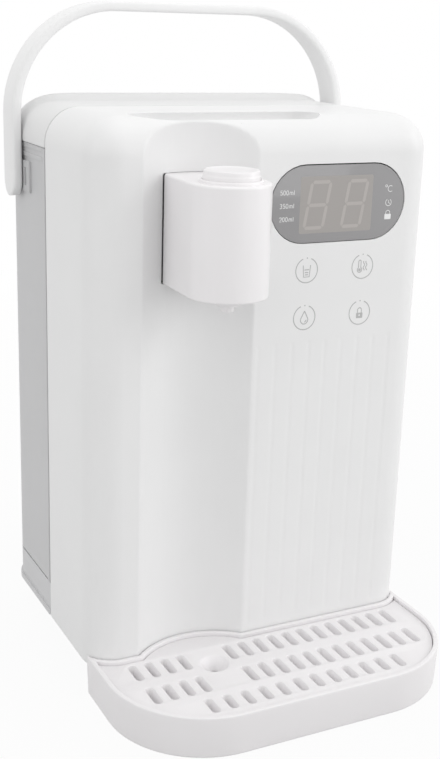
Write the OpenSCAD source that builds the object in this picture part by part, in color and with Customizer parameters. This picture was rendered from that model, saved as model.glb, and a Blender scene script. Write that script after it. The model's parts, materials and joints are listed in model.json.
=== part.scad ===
// Countertop instant hot water dispenser: a white front housing with a spout in an upright
// channel, a lift-off rear tank with a carrying handle, and a pull-out drip tray.
// X runs to the right, Y to the rear, Z up from the table.

/* [Body] */
// Width across the sides of the body
body_w = 185; // [178:1:200]
// Depth from the flat front panel to the rear of the lid
body_depth = 136; // [128:1:145]
// Height of the front shell's top above the table
body_h = 290; // [284:1:310]
// Depth of the front shell from its panel to the tank seam
shell_depth = 66; // [64:1:74]
// Height of the shell's lower edge above the table
shell_bottom = 16.5; // [16:0.5:20]
// Wall of the moulded pieces
wall = 2.5; // [2:0.1:3]
// Radius of the upright front corners
front_corner_r = 16; // [12:1:17]
// Radius of the upright rear corners
rear_corner_r = 20; // [14:1:23]
// Radius of the top edges
top_edge_r = 18; // [15:1:20]
// Gap between fixed pieces that sit inside each other
fit_gap = 0.3; // [0.2:0.05:0.4]
// Gap between the housing and the pieces that lift or slide off it
lift_gap = 0.5; // [0.4:0.05:0.8]

/* [Front panel] */
// Distance of the spout channel from the middle of the body, to the left
channel_offset = 38.5; // [34:0.5:42]
// Width of the spout channel at the panel
channel_w = 58.7; // [52:0.1:62]
// Depth of the spout channel
channel_depth = 11.5; // [9:0.5:13]
// Length of the finger scoop in the top
scoop_w = 110; // [90:1:130]
// Radius of the finger scoop
scoop_r = 9; // [7:0.5:10]
// Width of the display lens
lens_w = 76.5; // [70:0.5:80]
// Height of the display lens
lens_h = 38.3; // [34:0.1:42]
// Distance of the lens from the middle of the body, to the right
lens_offset = 36.8; // [35:0.1:39]
// Drop from the shell's top to the lens's middle
lens_drop = 42; // [40:0.5:45]
// How far the lens lies below the panel
lens_sink = 0.3; // [0.1:0.1:0.6]
// Diameter of a touch key's sensing pad
key_d = 12; // [10:0.5:14]
// Distance between the two columns of touch keys
key_pitch_x = 32.6; // [28:0.2:36]
// Distance between the two rows of touch keys
key_pitch_z = 24; // [20:0.5:26]
// Drop from the lens's middle to the middle of the touch keys
key_drop = 44.7; // [43:0.1:46]
// Number of upright flutes in the lower panel
flute_count = 9; // [5:1:9]
// Distance of the flutes' middle from the middle of the body, to the right
flute_offset = 32.8; // [31:0.2:38]
// Distance between flutes
flute_pitch = 9.56; // [8:0.02:10]
// Width of a flute
flute_w = 1.6; // [1:0.1:2]
// Depth of a flute
flute_depth = 0.4; // [0.2:0.1:0.6]
// Height of the flutes' lower ends
flute_bottom = 27; // [25:1:40]
// Drop from the shell's top to the flutes' upper ends
flute_drop = 111.4; // [111:0.1:140]

/* [Spout] */
// Radius of the spout head's round front
spout_r = 19.1; // [18:0.1:20]
// Distance of the spout head's middle from the channel's, to the right
spout_shift = 1.9; // [0:0.1:2.5]
// Reach of the spout head in front of the panel
spout_reach = 43.3; // [40:0.1:47]
// Drop from the shell's top to the spout head's top
spout_drop = 26; // [22:0.5:28]
// Height of the spout head
spout_h = 52; // [50:0.5:58]
// Gap between the head and the channel behind it
spout_gap = 2; // [1:0.1:3]
// Reach of the nozzle and button axis in front of the panel
spout_axis_reach = 25.5; // [25:0.5:28]
// Height of the water pipe above the head's underside
pipe_up = 16; // [15:0.5:18]
// Diameter of the nozzle
nozzle_d = 16; // [14:0.5:18]
// How far the nozzle hangs below the head
nozzle_drop = 4; // [2:0.5:6]
// Diameter of the button
button_d = 25.9; // [23:0.1:26.5]
// How far the button stands above the head
button_rise = 5.6; // [4:0.1:7]
// Travel of the button
button_travel = 3; // [2:0.1:3.2]
// Gap round the button
button_gap = 0.35; // [0.3:0.05:0.5]

/* [Tank] */
// How far the tank's sides lie inside the body's
tank_inset = 1; // [0.5:0.1:1.5]
// Height of the base under the tank
deck_top = 35; // [34:0.5:40]
// Drop from the shell's top to the tank's rim
tank_drop = 20.3; // [16:0.1:24]
// Thickness of the tank's floor
tank_floor = 3; // [2.5:0.1:4]
// Height of the lid's rear lip above its flat top
lid_rise = 3; // [1:0.5:4]
// Depth of the lid's plug in the tank's mouth
plug_depth = 8; // [6:0.5:10]
// Travel of the tank valve
valve_travel = 3; // [2:0.1:4]

/* [Handle] */
// Thickness of the handle band
handle_t = 5; // [4:0.1:6]
// Width of the handle band
handle_w = 17.5; // [15:0.1:20]
// Outer radius of the handle's shoulders
handle_arch_r = 54; // [44:1:60]
// Height of the handle's top above its pivot
handle_h = 90; // [84:1:100]
// Drop from the shell's top to the pivot
pivot_drop = 40; // [39:0.5:46]
// Distance of the pivot from the rear of the body
pivot_from_rear = 27; // [25:0.5:32]
// Diameter of the pivot studs
stud_d = 6; // [5:0.1:7]
// Running clearance all round a turning stud
turn_gap = 0.05; // [0.03:0.01:0.08]

/* [Drip tray] */
// Reach of the tray in front of the panel
tray_reach = 70; // [67:1:80]
// Height of the tray's rim
tray_h = 22; // [21:0.5:26]
// Radius of the tray's front corners
tray_corner_r = 46; // [30:1:52]
// How far the tray's sides stand out past the body's
tray_side = 0.2; // [0:0.1:2]
// How far the tray reaches back round the body's corners
tray_wrap = 8.8; // [6:0.1:9.5]
// Width of the tray's rim
rim_w = 2.5; // [2:0.1:3]
// Thickness of the grille plate
grille_t = 2.5; // [2:0.1:3]
// How far the grille lies below the rim
grille_sink = 1.8; // [1:0.1:2.5]
// Depth of the slots' walls below the plate
slot_wall = 4; // [2:0.5:6]
// Width of a grille slot
slot_w = 4.4; // [3:0.1:5]
// Length of a slot in the two rear rows
slot_l = 15; // [12:0.5:16]
// Length of a slot in the front row
front_slot_l = 12.5; // [10:0.5:13]
// Distance between slots in the two rear rows
slot_pitch = 8.8; // [7.5:0.1:9]
// Distance between slots in the front row
front_slot_pitch = 9.64; // [8:0.02:10]
// Diameter of the finger hole
finger_hole_d = 15; // [12:0.5:16]

/* [Base] */
// How far the plinth lies inside the body's outline
plinth_inset = 16; // [14:0.5:20]
// Diameter of a foot
foot_d = 18; // [14:0.5:20]
// Height of a foot
foot_h = 5; // [4:0.5:6]

/* [Water works] */
// Diameter of the heater tube
heater_d = 38; // [34:0.5:40]
// Length of the heater tube
heater_l = 100; // [80:1:105]
// Diameter of the pump
pump_d = 42; // [38:0.5:43]
// Height of the pump's water chamber housing
pump_h = 26; // [25:0.5:30]
// Outer diameter of a hose
hose_d = 9; // [8:0.1:9.4]
// Inner diameter of a hose
hose_bore_d = 6.2; // [5.8:0.1:6.6]
// Bend radius of a hose
bend_r = 12; // [10:0.5:13]

/* [Hidden] */
$fn = 72;
over = 1;
half_w = body_w / 2;
y_face = (tray_reach - body_depth) / 2;
y_seam = y_face + shell_depth;
y_rear = y_face + body_depth;
y_tank = y_seam + lift_gap;
channel_x = -channel_offset;
channel_r = (channel_w * channel_w / 4 + channel_depth * channel_depth) / (2 * channel_depth);
channel_axis_y = y_face + channel_depth - channel_r;
floor_top = shell_bottom + wall;
lens_z = body_h - lens_drop;
flute_top = body_h - flute_drop;
spout_top = body_h - spout_drop;
spout_bottom = spout_top - spout_h;
pipe_z = spout_bottom + pipe_up;
tank_top = body_h - tank_drop;
pivot_z = body_h - pivot_drop;

// Boards and their screws
lens_x = lens_offset;
lens_fit = 0.2;
board_t = 1.6;
board_gap = 8;
board_w = 88;
board_margin = 12;
digits_w = 47;
digits_h = 28;
board_y = y_face + wall + board_gap;
board_top = lens_z + lens_h / 2 + board_margin;
key_z = lens_z - key_drop;
board_low = key_z - key_pitch_z / 2 - board_margin;
board_edge = 4;
screw_d = 3;
screw_fit = 0.1;
screw_head_d = 6.4;
screw_head_h = 2;
screw_bite = 6;
boss_d = 8;
board_holes = [for (x = [lens_x - board_w / 2 + board_edge, lens_x + board_w / 2 - board_edge],
                    z = [board_low + board_edge, board_top - board_edge]) [x, z]];
chassis_t = 4;
chassis_front = y_seam - chassis_t;
chassis_boss_l = 20;
notch_gap = 2;
chassis_hole_up = 24;
chassis_hole_down = 10;
chassis_holes = [for (side = [-1, 1], z = [floor_top + chassis_hole_up, tank_top - chassis_hole_down])
                 [side * (half_w - wall - boss_d / 2), z]];

// Spout
spout_x = channel_x + spout_shift;
spout_y = y_face - spout_reach + spout_r;
axis_y = y_face - spout_axis_reach;
spout_wall = 2;
neck_d = 20;
neck_bore = 15;
pad_d = 32;
pad_t = 1.5;
pad_y = y_face + channel_depth + wall + pad_t;
nut_d = 30;
nut_t = 5;
thread_fit = 0.1;
neck_end = 1;
hose_fit = 0.2;
pipe_d = hose_bore_d - hose_fit;
pipe_bore_d = 4;
pipe_bend = 8;
nozzle_flange = 1.5;
nozzle_flange_h = 2;
shelf_t = 2;
shelf_gap = 3;
shelf_z = pipe_z + pipe_d / 2 + shelf_gap;
collar_extra = 1.6;
collar_h = 2.4;
collar_top = spout_top - spout_wall - fit_gap;
collar_low = collar_top - collar_h;
switch_clear = 0.3;
switch_h = 8;
switch_w = 12;
switch_t = 6;
switch_pin_d = 3;
stem_d = 7;
stem_low = shelf_z + shelf_t + switch_h + switch_clear + button_travel;
spring_d = 20;
spring_t = 1.8;
bezel_w = 1.25;
bezel_h = 1.4;

// Tank, dock and valve
y_dock = (y_tank + y_rear) / 2;
tank_low = deck_top + fit_gap;
tank_half = half_w - tank_inset;
tank_floor_top = tank_low + tank_floor;
lid_low = tank_top + fit_gap;
rim_band_t = 0.4;
rim_band_h = 2.2;
rim_band_gap = 2.6;
plug_gap = 2;
lid_lip_w = 28;
lid_lip_run = 4;
plug_t = 2;
gasket_h = 4;
socket_d = 34;
socket_bore_d = 27;
neck_drop = 5.5;
collar_d = 24;
seal_drop = 0.8;
ledge_z = tank_low - neck_drop - seal_drop;
seal_h = 2.4;
floor_clear = 0.5;
hose_z = floor_top + hose_d / 2 + floor_clear;
socket_low = floor_top + floor_clear;
socket_floor = 2;
socket_step = 1;
valve_flange_d = 32;
valve_flange_h = 2.4;
valve_bore = 15;
web_h = 2.5;
web_up = 1.2;
web_low = tank_low - neck_drop + web_up;
web_hole_d = 3;
valve_stem_d = 3.6;
valve_seat_z = tank_floor_top + valve_flange_h;
valve_seal_h = 0.9;
valve_seal_edge = 0.5;
poppet_d = 20;
poppet_h = 2.5;
poppet_low = valve_seat_z + valve_seal_h + fit_gap;
tip_up = 0.1;
poppet_tip = tank_low - neck_drop + tip_up;
probe_d = 5;
cage_d = 29;
cage_bore_d = 25;
cage_roof = 2;
cage_foot = 3;
spring_pressed_l = 7;
cage_top = poppet_low + poppet_h + valve_travel + spring_pressed_l + cage_roof;
valve_spring_d = 10;
valve_spring_t = 1.6;

// Handle
pivot_y = y_rear - pivot_from_rear;
handle_inner = half_w + lift_gap;
handle_outer = handle_inner + handle_t;
stud_cap = 1.5;
stud_in = 6.5;
stud_boss_d = 15;
stud_boss_l = 7;
bracket_gap = 0.4;
bracket_t = tank_inset + lift_gap - bracket_gap;
bracket_ahead = 17.8;
bracket_behind = pivot_from_rear - rear_corner_r;
bracket_h = 16;
bracket_lift = 2.5;
bracket_slot_w = 3;
bracket_slot_h = 9;
bracket_slot_y = 6.5;

// Drip tray
tray_half = half_w + tray_side;
grille_gap = 0.4;
ledge_w = 2;
slot_wall_edge = 1.3;
grille_low = tray_h - grille_sink - grille_t;
rear_row = 13.2;
middle_row = 35.6;
front_row = 54.7;
row_slots = 12;
side_slots = 4;
row_end_x = 74.7;
front_row_middle = 0.4;
finger_hole_x = 34.8;
finger_hole_y = 20.4;
hook_w = 22;
hook_t = 3;
hook_lift = 1;
hook_z = foot_h + wall + hook_lift;
hook_x = 40;
hook_grip = 5;

// Base
lip_h = 3;
plinth_half = half_w - plinth_inset;
plinth_front = y_face + plinth_inset;
plinth_rear = y_rear - plinth_inset;
plinth_r = 12;
foot_edge = 14;
foot_stem_d = 5;
foot_spots = [for (x = [-1, 1], y = [plinth_front + foot_edge, plinth_rear - foot_edge])
              [x * (plinth_half - foot_edge), y]];
base_screw_step = 18;
base_screw_spots = [for (s = foot_spots) [s[0] - sign(s[0]) * base_screw_step, s[1]]];
inlet_x = 55;
inlet_drop = 7;
inlet_z = deck_top - inlet_drop;
inlet_d = 10;
inlet_bore = 7.2;
inlet_flange_d = 12;

// Water works
heater_x = 45;
heater_wall = 3;
cap_extra = 4;
cap_h = 8;
barb_l = 9;
barb_clear = 0.5;
clamp_t = 4;
clamp_h = 10;
clamp_gap = 0.1;
clamp_foot = 19;
clamp_from_end = 20;
thermostat_d = 14;
thermostat_h = 5;
sensor_off = 12.5;
sensor_base_d = 8;
sensor_base_h = 3;
sensor_d = 5;
sensor_h = 7;
heater_y = chassis_front - clamp_t - heater_d / 2;
pump_x = -48;
pump_pad_t = 1.5;
pump_pad_inset = 1;
pump_low = floor_top + pump_pad_t;
pump_wall = 4;
impeller_gap = 3;
impeller_t = 2;
hub_d = 9;
shaft_d = 3;
motor_d = 32;
motor_h = 40;
port_gap = 3;
outlet_z = hose_z + hose_d + port_gap;
heater_low = outlet_z + bend_r + barb_l + barb_clear + cap_h;
power_w = 66;
power_h = 90;
power_post = 6;
power_x = -50;
power_z = (pump_low + pump_h + motor_h + pipe_z) / 2;
power_holes = [for (x = [-1, 1], z = [-1, 1])
               [power_x + x * (power_w / 2 - board_edge), power_z + z * (power_h / 2 - board_edge)]];
relay_w = 20;
relay_h = 18;
relay_t = 12;
relay_x = -11;
relay_step = 19;
can_d = 12;
can_l = 11;
can_x = 16;
can_step = 23;

// Planes that a pipe bend can lie in
across = [0, 0, 0];
facing = [90, 0, 0];
sideways = [90, 0, 90];

white = "#f1f1f0";
soft_white = "#e4e3e2";
smoke = "#b4b4b6";
lens_grey = "#8f9092";
steel = "#b9bcc0";
dark = "#3a3b3d";
rubber = "#55565a";
board_green = "#2f6b4a";
silicone = "#d9d4c8";

// Rods along each axis
module rod_x(x0, x1, y, z, d) translate([x0, y, z]) rotate([0, 90, 0]) cylinder(d = d, h = x1 - x0);
module rod_y(x, y0, y1, z, d) translate([x, y0, z]) rotate([-90, 0, 0]) cylinder(d = d, h = y1 - y0);
module rod_z(x, y, z0, z1, d) translate([x, y, z0]) cylinder(d = d, h = z1 - z0);
module tube_z(x, y, z0, z1, od, id) {
    difference() {
        rod_z(x, y, z0, z1, od);
        rod_z(x, y, z0 - over, z1 + over, id);
    }
}
module block(low, high) translate(low) cube(high - low);

// What a rounded corner at the origin takes off
module corner_off(r) {
    difference() {
        translate([-over, -over]) square(r + over);
        translate([r, r]) circle(r);
    }
}

// Outline that is even about the Y axis, with its own radius at each end
module round_plan(half, low, high, r_low, r_high) {
    difference() {
        translate([-half, low]) square([2 * half, high - low]);
        for (side = [0, 1]) mirror([side, 0]) {
            if (r_low > 0) translate([-half, low]) corner_off(r_low);
            if (r_high > 0) translate([-half, high]) mirror([0, 1]) corner_off(r_high);
        }
    }
}
module stadium(w, h) {
    square([w - h, h], center = true);
    for (side = [-1, 1]) translate([side * (w - h) / 2, 0]) circle(d = h);
}

// Upright plate between two depths, drawn as seen from the front
module upright(x, z, y0, y1) translate([x, y1, z]) rotate([90, 0, 0]) linear_extrude(y1 - y0) children();
module flat(z0, z1) translate([0, 0, z0]) linear_extrude(z1 - z0) children();

// Volume of the front shell drawn in by inset, from its panel to the depth back
module shell_form(inset, low, back) {
    top = body_h - inset;
    r_top = top_edge_r - inset;
    intersection() {
        flat(low, body_h) round_plan(half_w - inset, y_face + inset, back, front_corner_r - inset, 0);
        upright(0, 0, y_face, back) round_plan(half_w - inset, low, top, 0, r_top);
        translate([-half_w, 0, 0]) rotate([90, 0, 90]) linear_extrude(body_w) difference() {
            translate([y_face + inset, low]) square([back - y_face - inset, top - low]);
            translate([y_face + inset, top]) mirror([0, 1]) corner_off(r_top);
        }
    }
}
module channel(grow) rod_z(channel_x, channel_axis_y, 0, body_h + over, 2 * (channel_r + grow));
module scoop(grow) {
    half = scoop_w / 2 - scoop_r;
    translate([0, y_face + 2 * scoop_r, body_h]) {
        rod_x(-half, half, 0, 0, 2 * (scoop_r + grow));
        for (side = [-1, 1]) translate([side * half, 0, 0]) sphere(scoop_r + grow);
    }
}
module flutes() {
    for (i = [0 : flute_count - 1]) {
        x = flute_offset + (i - (flute_count - 1) / 2) * flute_pitch - flute_w / 2;
        block([x, y_face - over, flute_bottom], [x + flute_w, y_face + flute_depth, flute_top]);
    }
}

module front_shell() color(white) difference() {
    union() {
        difference() {
            shell_form(0, shell_bottom, y_seam);
            difference() {
                shell_form(wall, shell_bottom - over, y_seam + over);
                channel(wall);
                scoop(wall);
            }
        }
        for (p = board_holes) rod_y(p[0], y_face + wall / 2, board_y, p[1], boss_d);
        for (p = chassis_holes)
            rod_y(p[0], chassis_front - chassis_boss_l, chassis_front, p[1], boss_d + over);
        rod_y(spout_x, y_face + channel_depth, pad_y, pipe_z, pad_d);
    }
    channel(0);
    scoop(0);
    upright(lens_x, lens_z, y_face - over, y_face + wall + over)
        stadium(lens_w + 2 * lens_fit, lens_h + 2 * lens_fit);
    flutes();
    rod_y(spout_x, y_face, pad_y + over, pipe_z, neck_d + 2 * fit_gap);
    for (p = board_holes) rod_y(p[0], board_y - screw_bite, board_y + over, p[1], screw_d + screw_fit);
    for (p = chassis_holes)
        rod_y(p[0], chassis_front - 2 * screw_bite, chassis_front + over, p[1], screw_d + screw_fit);
}

// Screw along Y, driven from the rear, with its head's underside at y
module screw_y(x, y, z, bite) {
    rod_y(x, y - bite, y, z, screw_d);
    rod_y(x, y, y + screw_head_h, z, screw_head_d);
}

module chassis_wall() color(soft_white) difference() {
    gap = wall + fit_gap;
    notch = hose_d / 2 + notch_gap;
    union() {
        upright(0, 0, chassis_front, y_seam)
            round_plan(half_w - gap, floor_top + fit_gap, body_h - gap, 0, top_edge_r - gap);
        for (p = power_holes) rod_y(p[0], chassis_front - power_post, chassis_front + over, p[1], boss_d);
    }
    block([-notch, chassis_front - over, floor_top], [notch, y_seam + over, hose_z + notch]);
    for (p = chassis_holes) {
        rod_y(p[0], chassis_front - over, y_seam + over, p[1], screw_d + 2 * screw_fit);
        rod_y(p[0], y_seam - screw_head_h - fit_gap, y_seam + over, p[1], screw_head_d + 2 * fit_gap);
    }
}
module chassis_screws() color(steel)
    for (p = chassis_holes) screw_y(p[0], y_seam - screw_head_h - fit_gap, p[1], screw_bite + chassis_t / 2);

module display_lens() color(lens_grey)
    upright(lens_x, lens_z, y_face + lens_sink, y_face + wall) stadium(lens_w, lens_h);
module display_module() color(dark)
    upright(lens_x, lens_z, y_face + wall, board_y) square([digits_w, digits_h], center = true);
module control_board() color(board_green) difference() {
    block([lens_x - board_w / 2, board_y, board_low], [lens_x + board_w / 2, board_y + board_t, board_top]);
    for (p = board_holes)
        rod_y(p[0], board_y - over, board_y + board_t + over, p[1], screw_d + 2 * screw_fit);
}
module touch_pads() color(steel)
    for (x = [-1, 1], z = [-1, 1])
        rod_y(lens_x + x * key_pitch_x / 2, y_face + wall, board_y, key_z + z * key_pitch_z / 2, key_d);
module board_screws() color(steel) for (p = board_holes) screw_y(p[0], board_y + board_t, p[1], screw_bite);

// Plan of the spout head, round at the front, drawn in by inset
module spout_plan(inset) {
    translate([spout_x, spout_y]) circle(spout_r - inset);
    translate([spout_x - spout_r + inset, spout_y])
        square([2 * (spout_r - inset), y_face + channel_depth - spout_y]);
}
module spout_form(inset, z0, z1) {
    intersection() {
        flat(z0, z1) spout_plan(inset);
        rod_z(channel_x, channel_axis_y, z0 - over, z1 + over, 2 * (channel_r - spout_gap - inset));
    }
}
module spout_head() color(soft_white) difference() {
    neck_back = pad_y + nut_t + neck_end;
    union() {
        difference() {
            spout_form(0, spout_bottom, spout_top);
            spout_form(spout_wall, spout_bottom - over, spout_top - spout_wall);
        }
        rod_y(spout_x, y_face + channel_depth - spout_gap - spout_wall, neck_back, pipe_z, neck_d);
    }
    rod_y(spout_x, y_face - over, neck_back + over, pipe_z, neck_bore);
    rod_z(spout_x, axis_y, spout_top - 2 * spout_wall, spout_top + over, button_d + 2 * button_gap);
}
module spout_base() color(soft_white) difference() {
    spout_form(spout_wall + fit_gap, spout_bottom, spout_bottom + spout_wall);
    rod_z(spout_x, axis_y, spout_bottom - over, spout_bottom + spout_wall + over, nozzle_d + 2 * fit_gap);
}
module spout_nozzle() color(soft_white) difference() {
    flange_z = spout_bottom + spout_wall;
    union() {
        rod_z(spout_x, axis_y, spout_bottom - nozzle_drop, flange_z, nozzle_d);
        rod_z(spout_x, axis_y, flange_z, flange_z + nozzle_flange_h, nozzle_d + 2 * nozzle_flange);
        rod_z(spout_x, axis_y, flange_z, pipe_z - pipe_bend - fit_gap, pipe_d + 2 * spout_wall);
    }
    rod_z(spout_x, axis_y, flange_z, pipe_z, pipe_d + screw_fit);
    rod_z(spout_x, axis_y, spout_bottom - nozzle_drop - over, flange_z + over, pipe_bore_d);
}
module spout_nut() color(soft_white) difference() {
    rod_y(spout_x, pad_y, pad_y + nut_t, pipe_z, nut_d);
    rod_y(spout_x, pad_y - over, pad_y + nut_t + over, pipe_z, neck_d + 2 * thread_fit);
}

// Pipes are drawn as a ring carried along straight runs and quarter bends
module ring(od, id) {
    difference() {
        circle(d = od);
        circle(d = id);
    }
}
module run_x(x0, x1, y, z, od, id)
    translate([x0, y, z]) rotate([0, 90, 0]) linear_extrude(x1 - x0) ring(od, id);
module run_y(x, y0, y1, z, od, id)
    translate([x, y0, z]) rotate([-90, 0, 0]) linear_extrude(y1 - y0) ring(od, id);
module run_z(x, y, z0, z1, od, id) translate([x, y, z0]) linear_extrude(z1 - z0) ring(od, id);
module bend(center, plane, start, r, od, id)
    translate(center) rotate(plane) rotate([0, 0, start])
        rotate_extrude(angle = 90) translate([r, 0]) ring(od, id);

module spout_pipe() color(steel) {
    run_y(spout_x, axis_y + pipe_bend, heater_y - bend_r - barb_clear, pipe_z, pipe_d, pipe_bore_d);
    bend([spout_x, axis_y + pipe_bend, pipe_z - pipe_bend], sideways, 90, pipe_bend, pipe_d, pipe_bore_d);
    run_z(spout_x, axis_y, spout_bottom + spout_wall, pipe_z - pipe_bend, pipe_d, pipe_bore_d);
}

module button_bezel() color(soft_white) {
    bore = button_d + 2 * button_gap;
    tube_z(spout_x, axis_y, spout_top, spout_top + bezel_h, bore + 2 * bezel_w, bore);
}
module tap_button() color(white) {
    rod_z(spout_x, axis_y, collar_low, spout_top + button_rise, button_d);
    rod_z(spout_x, axis_y, collar_low, collar_top, button_d + collar_extra);
    rod_z(spout_x, axis_y, stem_low, collar_low + over, stem_d);
}
module button_spring() color(steel)
    tube_z(spout_x, axis_y, shelf_z + shelf_t, collar_low, spring_d, spring_d - 2 * spring_t);
module switch_shelf() color(soft_white) spout_form(spout_wall + fit_gap, shelf_z, shelf_z + shelf_t);
module button_switch() color(dark) {
    base = shelf_z + shelf_t;
    block([spout_x - switch_w / 2, axis_y - switch_t / 2, base],
          [spout_x + switch_w / 2, axis_y + switch_t / 2, base + switch_h - over]);
    rod_z(spout_x, axis_y, base, base + switch_h, switch_pin_d);
}

// Outline of the rear of the body, drawn in by inset at sides and rear, by front_inset at the seam
module rear_plan(inset, front_inset) {
    front_r = 2;
    round_plan(half_w - inset, y_tank + front_inset, y_rear - inset, front_r, rear_corner_r - inset);
}
module base_deck() color(soft_white) difference() {
    shell_fit = wall + fit_gap;
    hollow = tank_inset + wall;
    union() {
        flat(shell_bottom, floor_top) difference() {
            round_plan(half_w - shell_fit, y_face + shell_fit, y_tank + rear_corner_r,
                       front_corner_r - shell_fit, 0);
            translate([channel_x, channel_axis_y]) circle(channel_r + shell_fit);
        }
        flat(shell_bottom, shell_bottom + lip_h) rear_plan(0, 0);
        flat(shell_bottom + lip_h, deck_top) rear_plan(tank_inset, 0);
        for (p = base_screw_spots) rod_z(p[0], p[1], foot_h + wall, shell_bottom + over, boss_d);
    }
    flat(floor_top, deck_top - wall)
        round_plan(half_w - hollow, y_seam - over, y_rear - hollow, 0, rear_corner_r - hollow);
    rod_z(0, y_dock, deck_top - wall - over, deck_top + over, socket_bore_d);
    rod_y(inlet_x, y_rear - hollow - over, y_rear, inlet_z, inlet_d + fit_gap);
    for (p = base_screw_spots) rod_z(p[0], p[1], foot_h, shell_bottom, screw_d + screw_fit);
}
module base_plinth() color(soft_white) difference() {
    flat(foot_h, shell_bottom) round_plan(plinth_half, plinth_front, plinth_rear, plinth_r, plinth_r);
    flat(foot_h + wall, shell_bottom + over)
        round_plan(plinth_half - wall, plinth_front + wall, plinth_rear - wall,
                   plinth_r - wall, plinth_r - wall);
    for (p = base_screw_spots) rod_z(p[0], p[1], 0, foot_h + wall + over, screw_d + 2 * screw_fit);
    for (p = foot_spots) rod_z(p[0], p[1], 0, foot_h + wall + over, foot_stem_d + screw_fit);
    for (side = [-1, 1]) hook(side, lift_gap, plinth_front + hook_grip + lift_gap);
}
module base_screws() color(steel) for (p = base_screw_spots) {
    rod_z(p[0], p[1], foot_h - screw_head_h, foot_h, screw_head_d);
    rod_z(p[0], p[1], foot_h, shell_bottom - over, screw_d);
}
module rubber_feet() color(rubber) for (p = foot_spots) {
    rod_z(p[0], p[1], 0, foot_h, foot_d);
    rod_z(p[0], p[1], foot_h, foot_h + wall, foot_stem_d);
}
module cord_inlet() color(dark) difference() {
    back = y_rear - tank_inset;
    union() {
        rod_y(inlet_x, back, y_rear, inlet_z, inlet_flange_d);
        rod_y(inlet_x, back - wall - over, back, inlet_z, inlet_d);
    }
    rod_y(inlet_x, back - wall - 2 * over, y_rear + over, inlet_z, inlet_bore);
}

module dock_socket() color(soft_white) {
    difference() {
        union() {
            rod_z(0, y_dock, socket_low, deck_top - wall, socket_d);
            rod_y(0, y_dock - socket_d / 2 - barb_l, y_dock, hose_z, pipe_d);
        }
        rod_z(0, y_dock, ledge_z, deck_top, socket_bore_d);
        rod_z(0, y_dock, socket_low + socket_floor, deck_top, collar_d - 2 * socket_step);
        rod_y(0, y_dock - socket_d / 2 - barb_l - over, y_dock, hose_z, pipe_bore_d);
    }
    rod_z(0, y_dock, socket_low, poppet_tip - fit_gap, probe_d);
}
module dock_seal() color(silicone)
    tube_z(0, y_dock, ledge_z, ledge_z + seal_h, socket_bore_d - 2 * screw_fit, collar_d + 2 * fit_gap);

module pump_pad() color(rubber) rod_z(pump_x, heater_y, floor_top, pump_low, pump_d - 2 * pump_pad_inset);
module pump_housing() color(dark) difference() {
    top = pump_low + pump_h;
    side = pump_x + pump_d / 2;
    union() {
        rod_z(pump_x, heater_y, pump_low, top, pump_d);
        for (z = [hose_z, outlet_z]) rod_x(pump_x, side + barb_l, heater_y, z, pipe_d);
    }
    rod_z(pump_x, heater_y, pump_low + pump_wall / 2, top - pump_wall, pump_d - 2 * pump_wall);
    for (z = [hose_z, outlet_z]) rod_x(pump_x, side + barb_l + over, heater_y, z, pipe_bore_d);
    rod_z(pump_x, heater_y, top - pump_wall - over, top + over, shaft_d + 2 * turn_gap);
}
module pump_motor() color(steel) difference() {
    base = pump_low + pump_h;
    rod_z(pump_x, heater_y, base, base + motor_h, motor_d);
    rod_z(pump_x, heater_y, base - over, base + motor_h / 4 + over, shaft_d + 2 * turn_gap);
}
module pump_impeller() color(silicone) {
    base = pump_low + pump_h;
    low = pump_low + pump_wall / 2 + impeller_gap;
    r = pump_d / 2 - pump_wall - impeller_gap;
    rod_z(pump_x, heater_y, low, base + motor_h / 4, shaft_d);
    top = base - pump_wall - impeller_gap;
    rod_z(pump_x, heater_y, low, low + impeller_t, 2 * r);
    rod_z(pump_x, heater_y, low, top, hub_d);
    for (turn = [0, 90]) translate([pump_x, heater_y, low]) rotate(turn)
        block([over - r, -impeller_t / 2, over], [r - over, impeller_t / 2, top - low]);
}

module heater_tube() color(steel)
    tube_z(heater_x, heater_y, heater_low, heater_low + heater_l, heater_d, heater_d - 2 * heater_wall);
module heater_caps() color(dark) difference() {
    top = heater_low + heater_l;
    union() {
        for (z = [heater_low - cap_h, top]) rod_z(heater_x, heater_y, z, z + cap_h, heater_d + cap_extra);
        rod_z(heater_x, heater_y, heater_low - cap_h - barb_l, heater_low, pipe_d);
        rod_z(heater_x, heater_y, top, top + cap_h + barb_l, pipe_d);
    }
    rod_z(heater_x, heater_y, heater_low - cap_h - barb_l - over, top + cap_h + barb_l + over, pipe_bore_d);
}
module heater_clamps() color(soft_white) for (up = [clamp_from_end, heater_l - clamp_from_end]) {
    z = heater_low + up;
    difference() {
        union() {
            rod_z(heater_x, heater_y, z - clamp_h / 2, z + clamp_h / 2, heater_d + 2 * clamp_t - over);
            block([heater_x - clamp_foot / 2, heater_y, z - clamp_h / 2],
                  [heater_x + clamp_foot / 2, chassis_front, z + clamp_h / 2]);
        }
        rod_z(heater_x, heater_y, z - clamp_h, z + clamp_h, heater_d + 2 * clamp_gap);
    }
}
module thermostat() color(dark) difference() {
    z = heater_low + heater_l / 2;
    rod_y(heater_x, heater_y - heater_d / 2 - thermostat_h, heater_y - heater_d / 4, z, thermostat_d);
    rod_z(heater_x, heater_y, z - thermostat_d, z + thermostat_d, heater_d + 2 * clamp_gap);
}
module temperature_sensor() color(steel) {
    top = heater_low + heater_l + cap_h;
    rod_z(heater_x, heater_y + sensor_off, top, top + sensor_base_h, sensor_base_d);
    rod_z(heater_x, heater_y + sensor_off, top, top + sensor_base_h + sensor_h, sensor_d);
}

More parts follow.
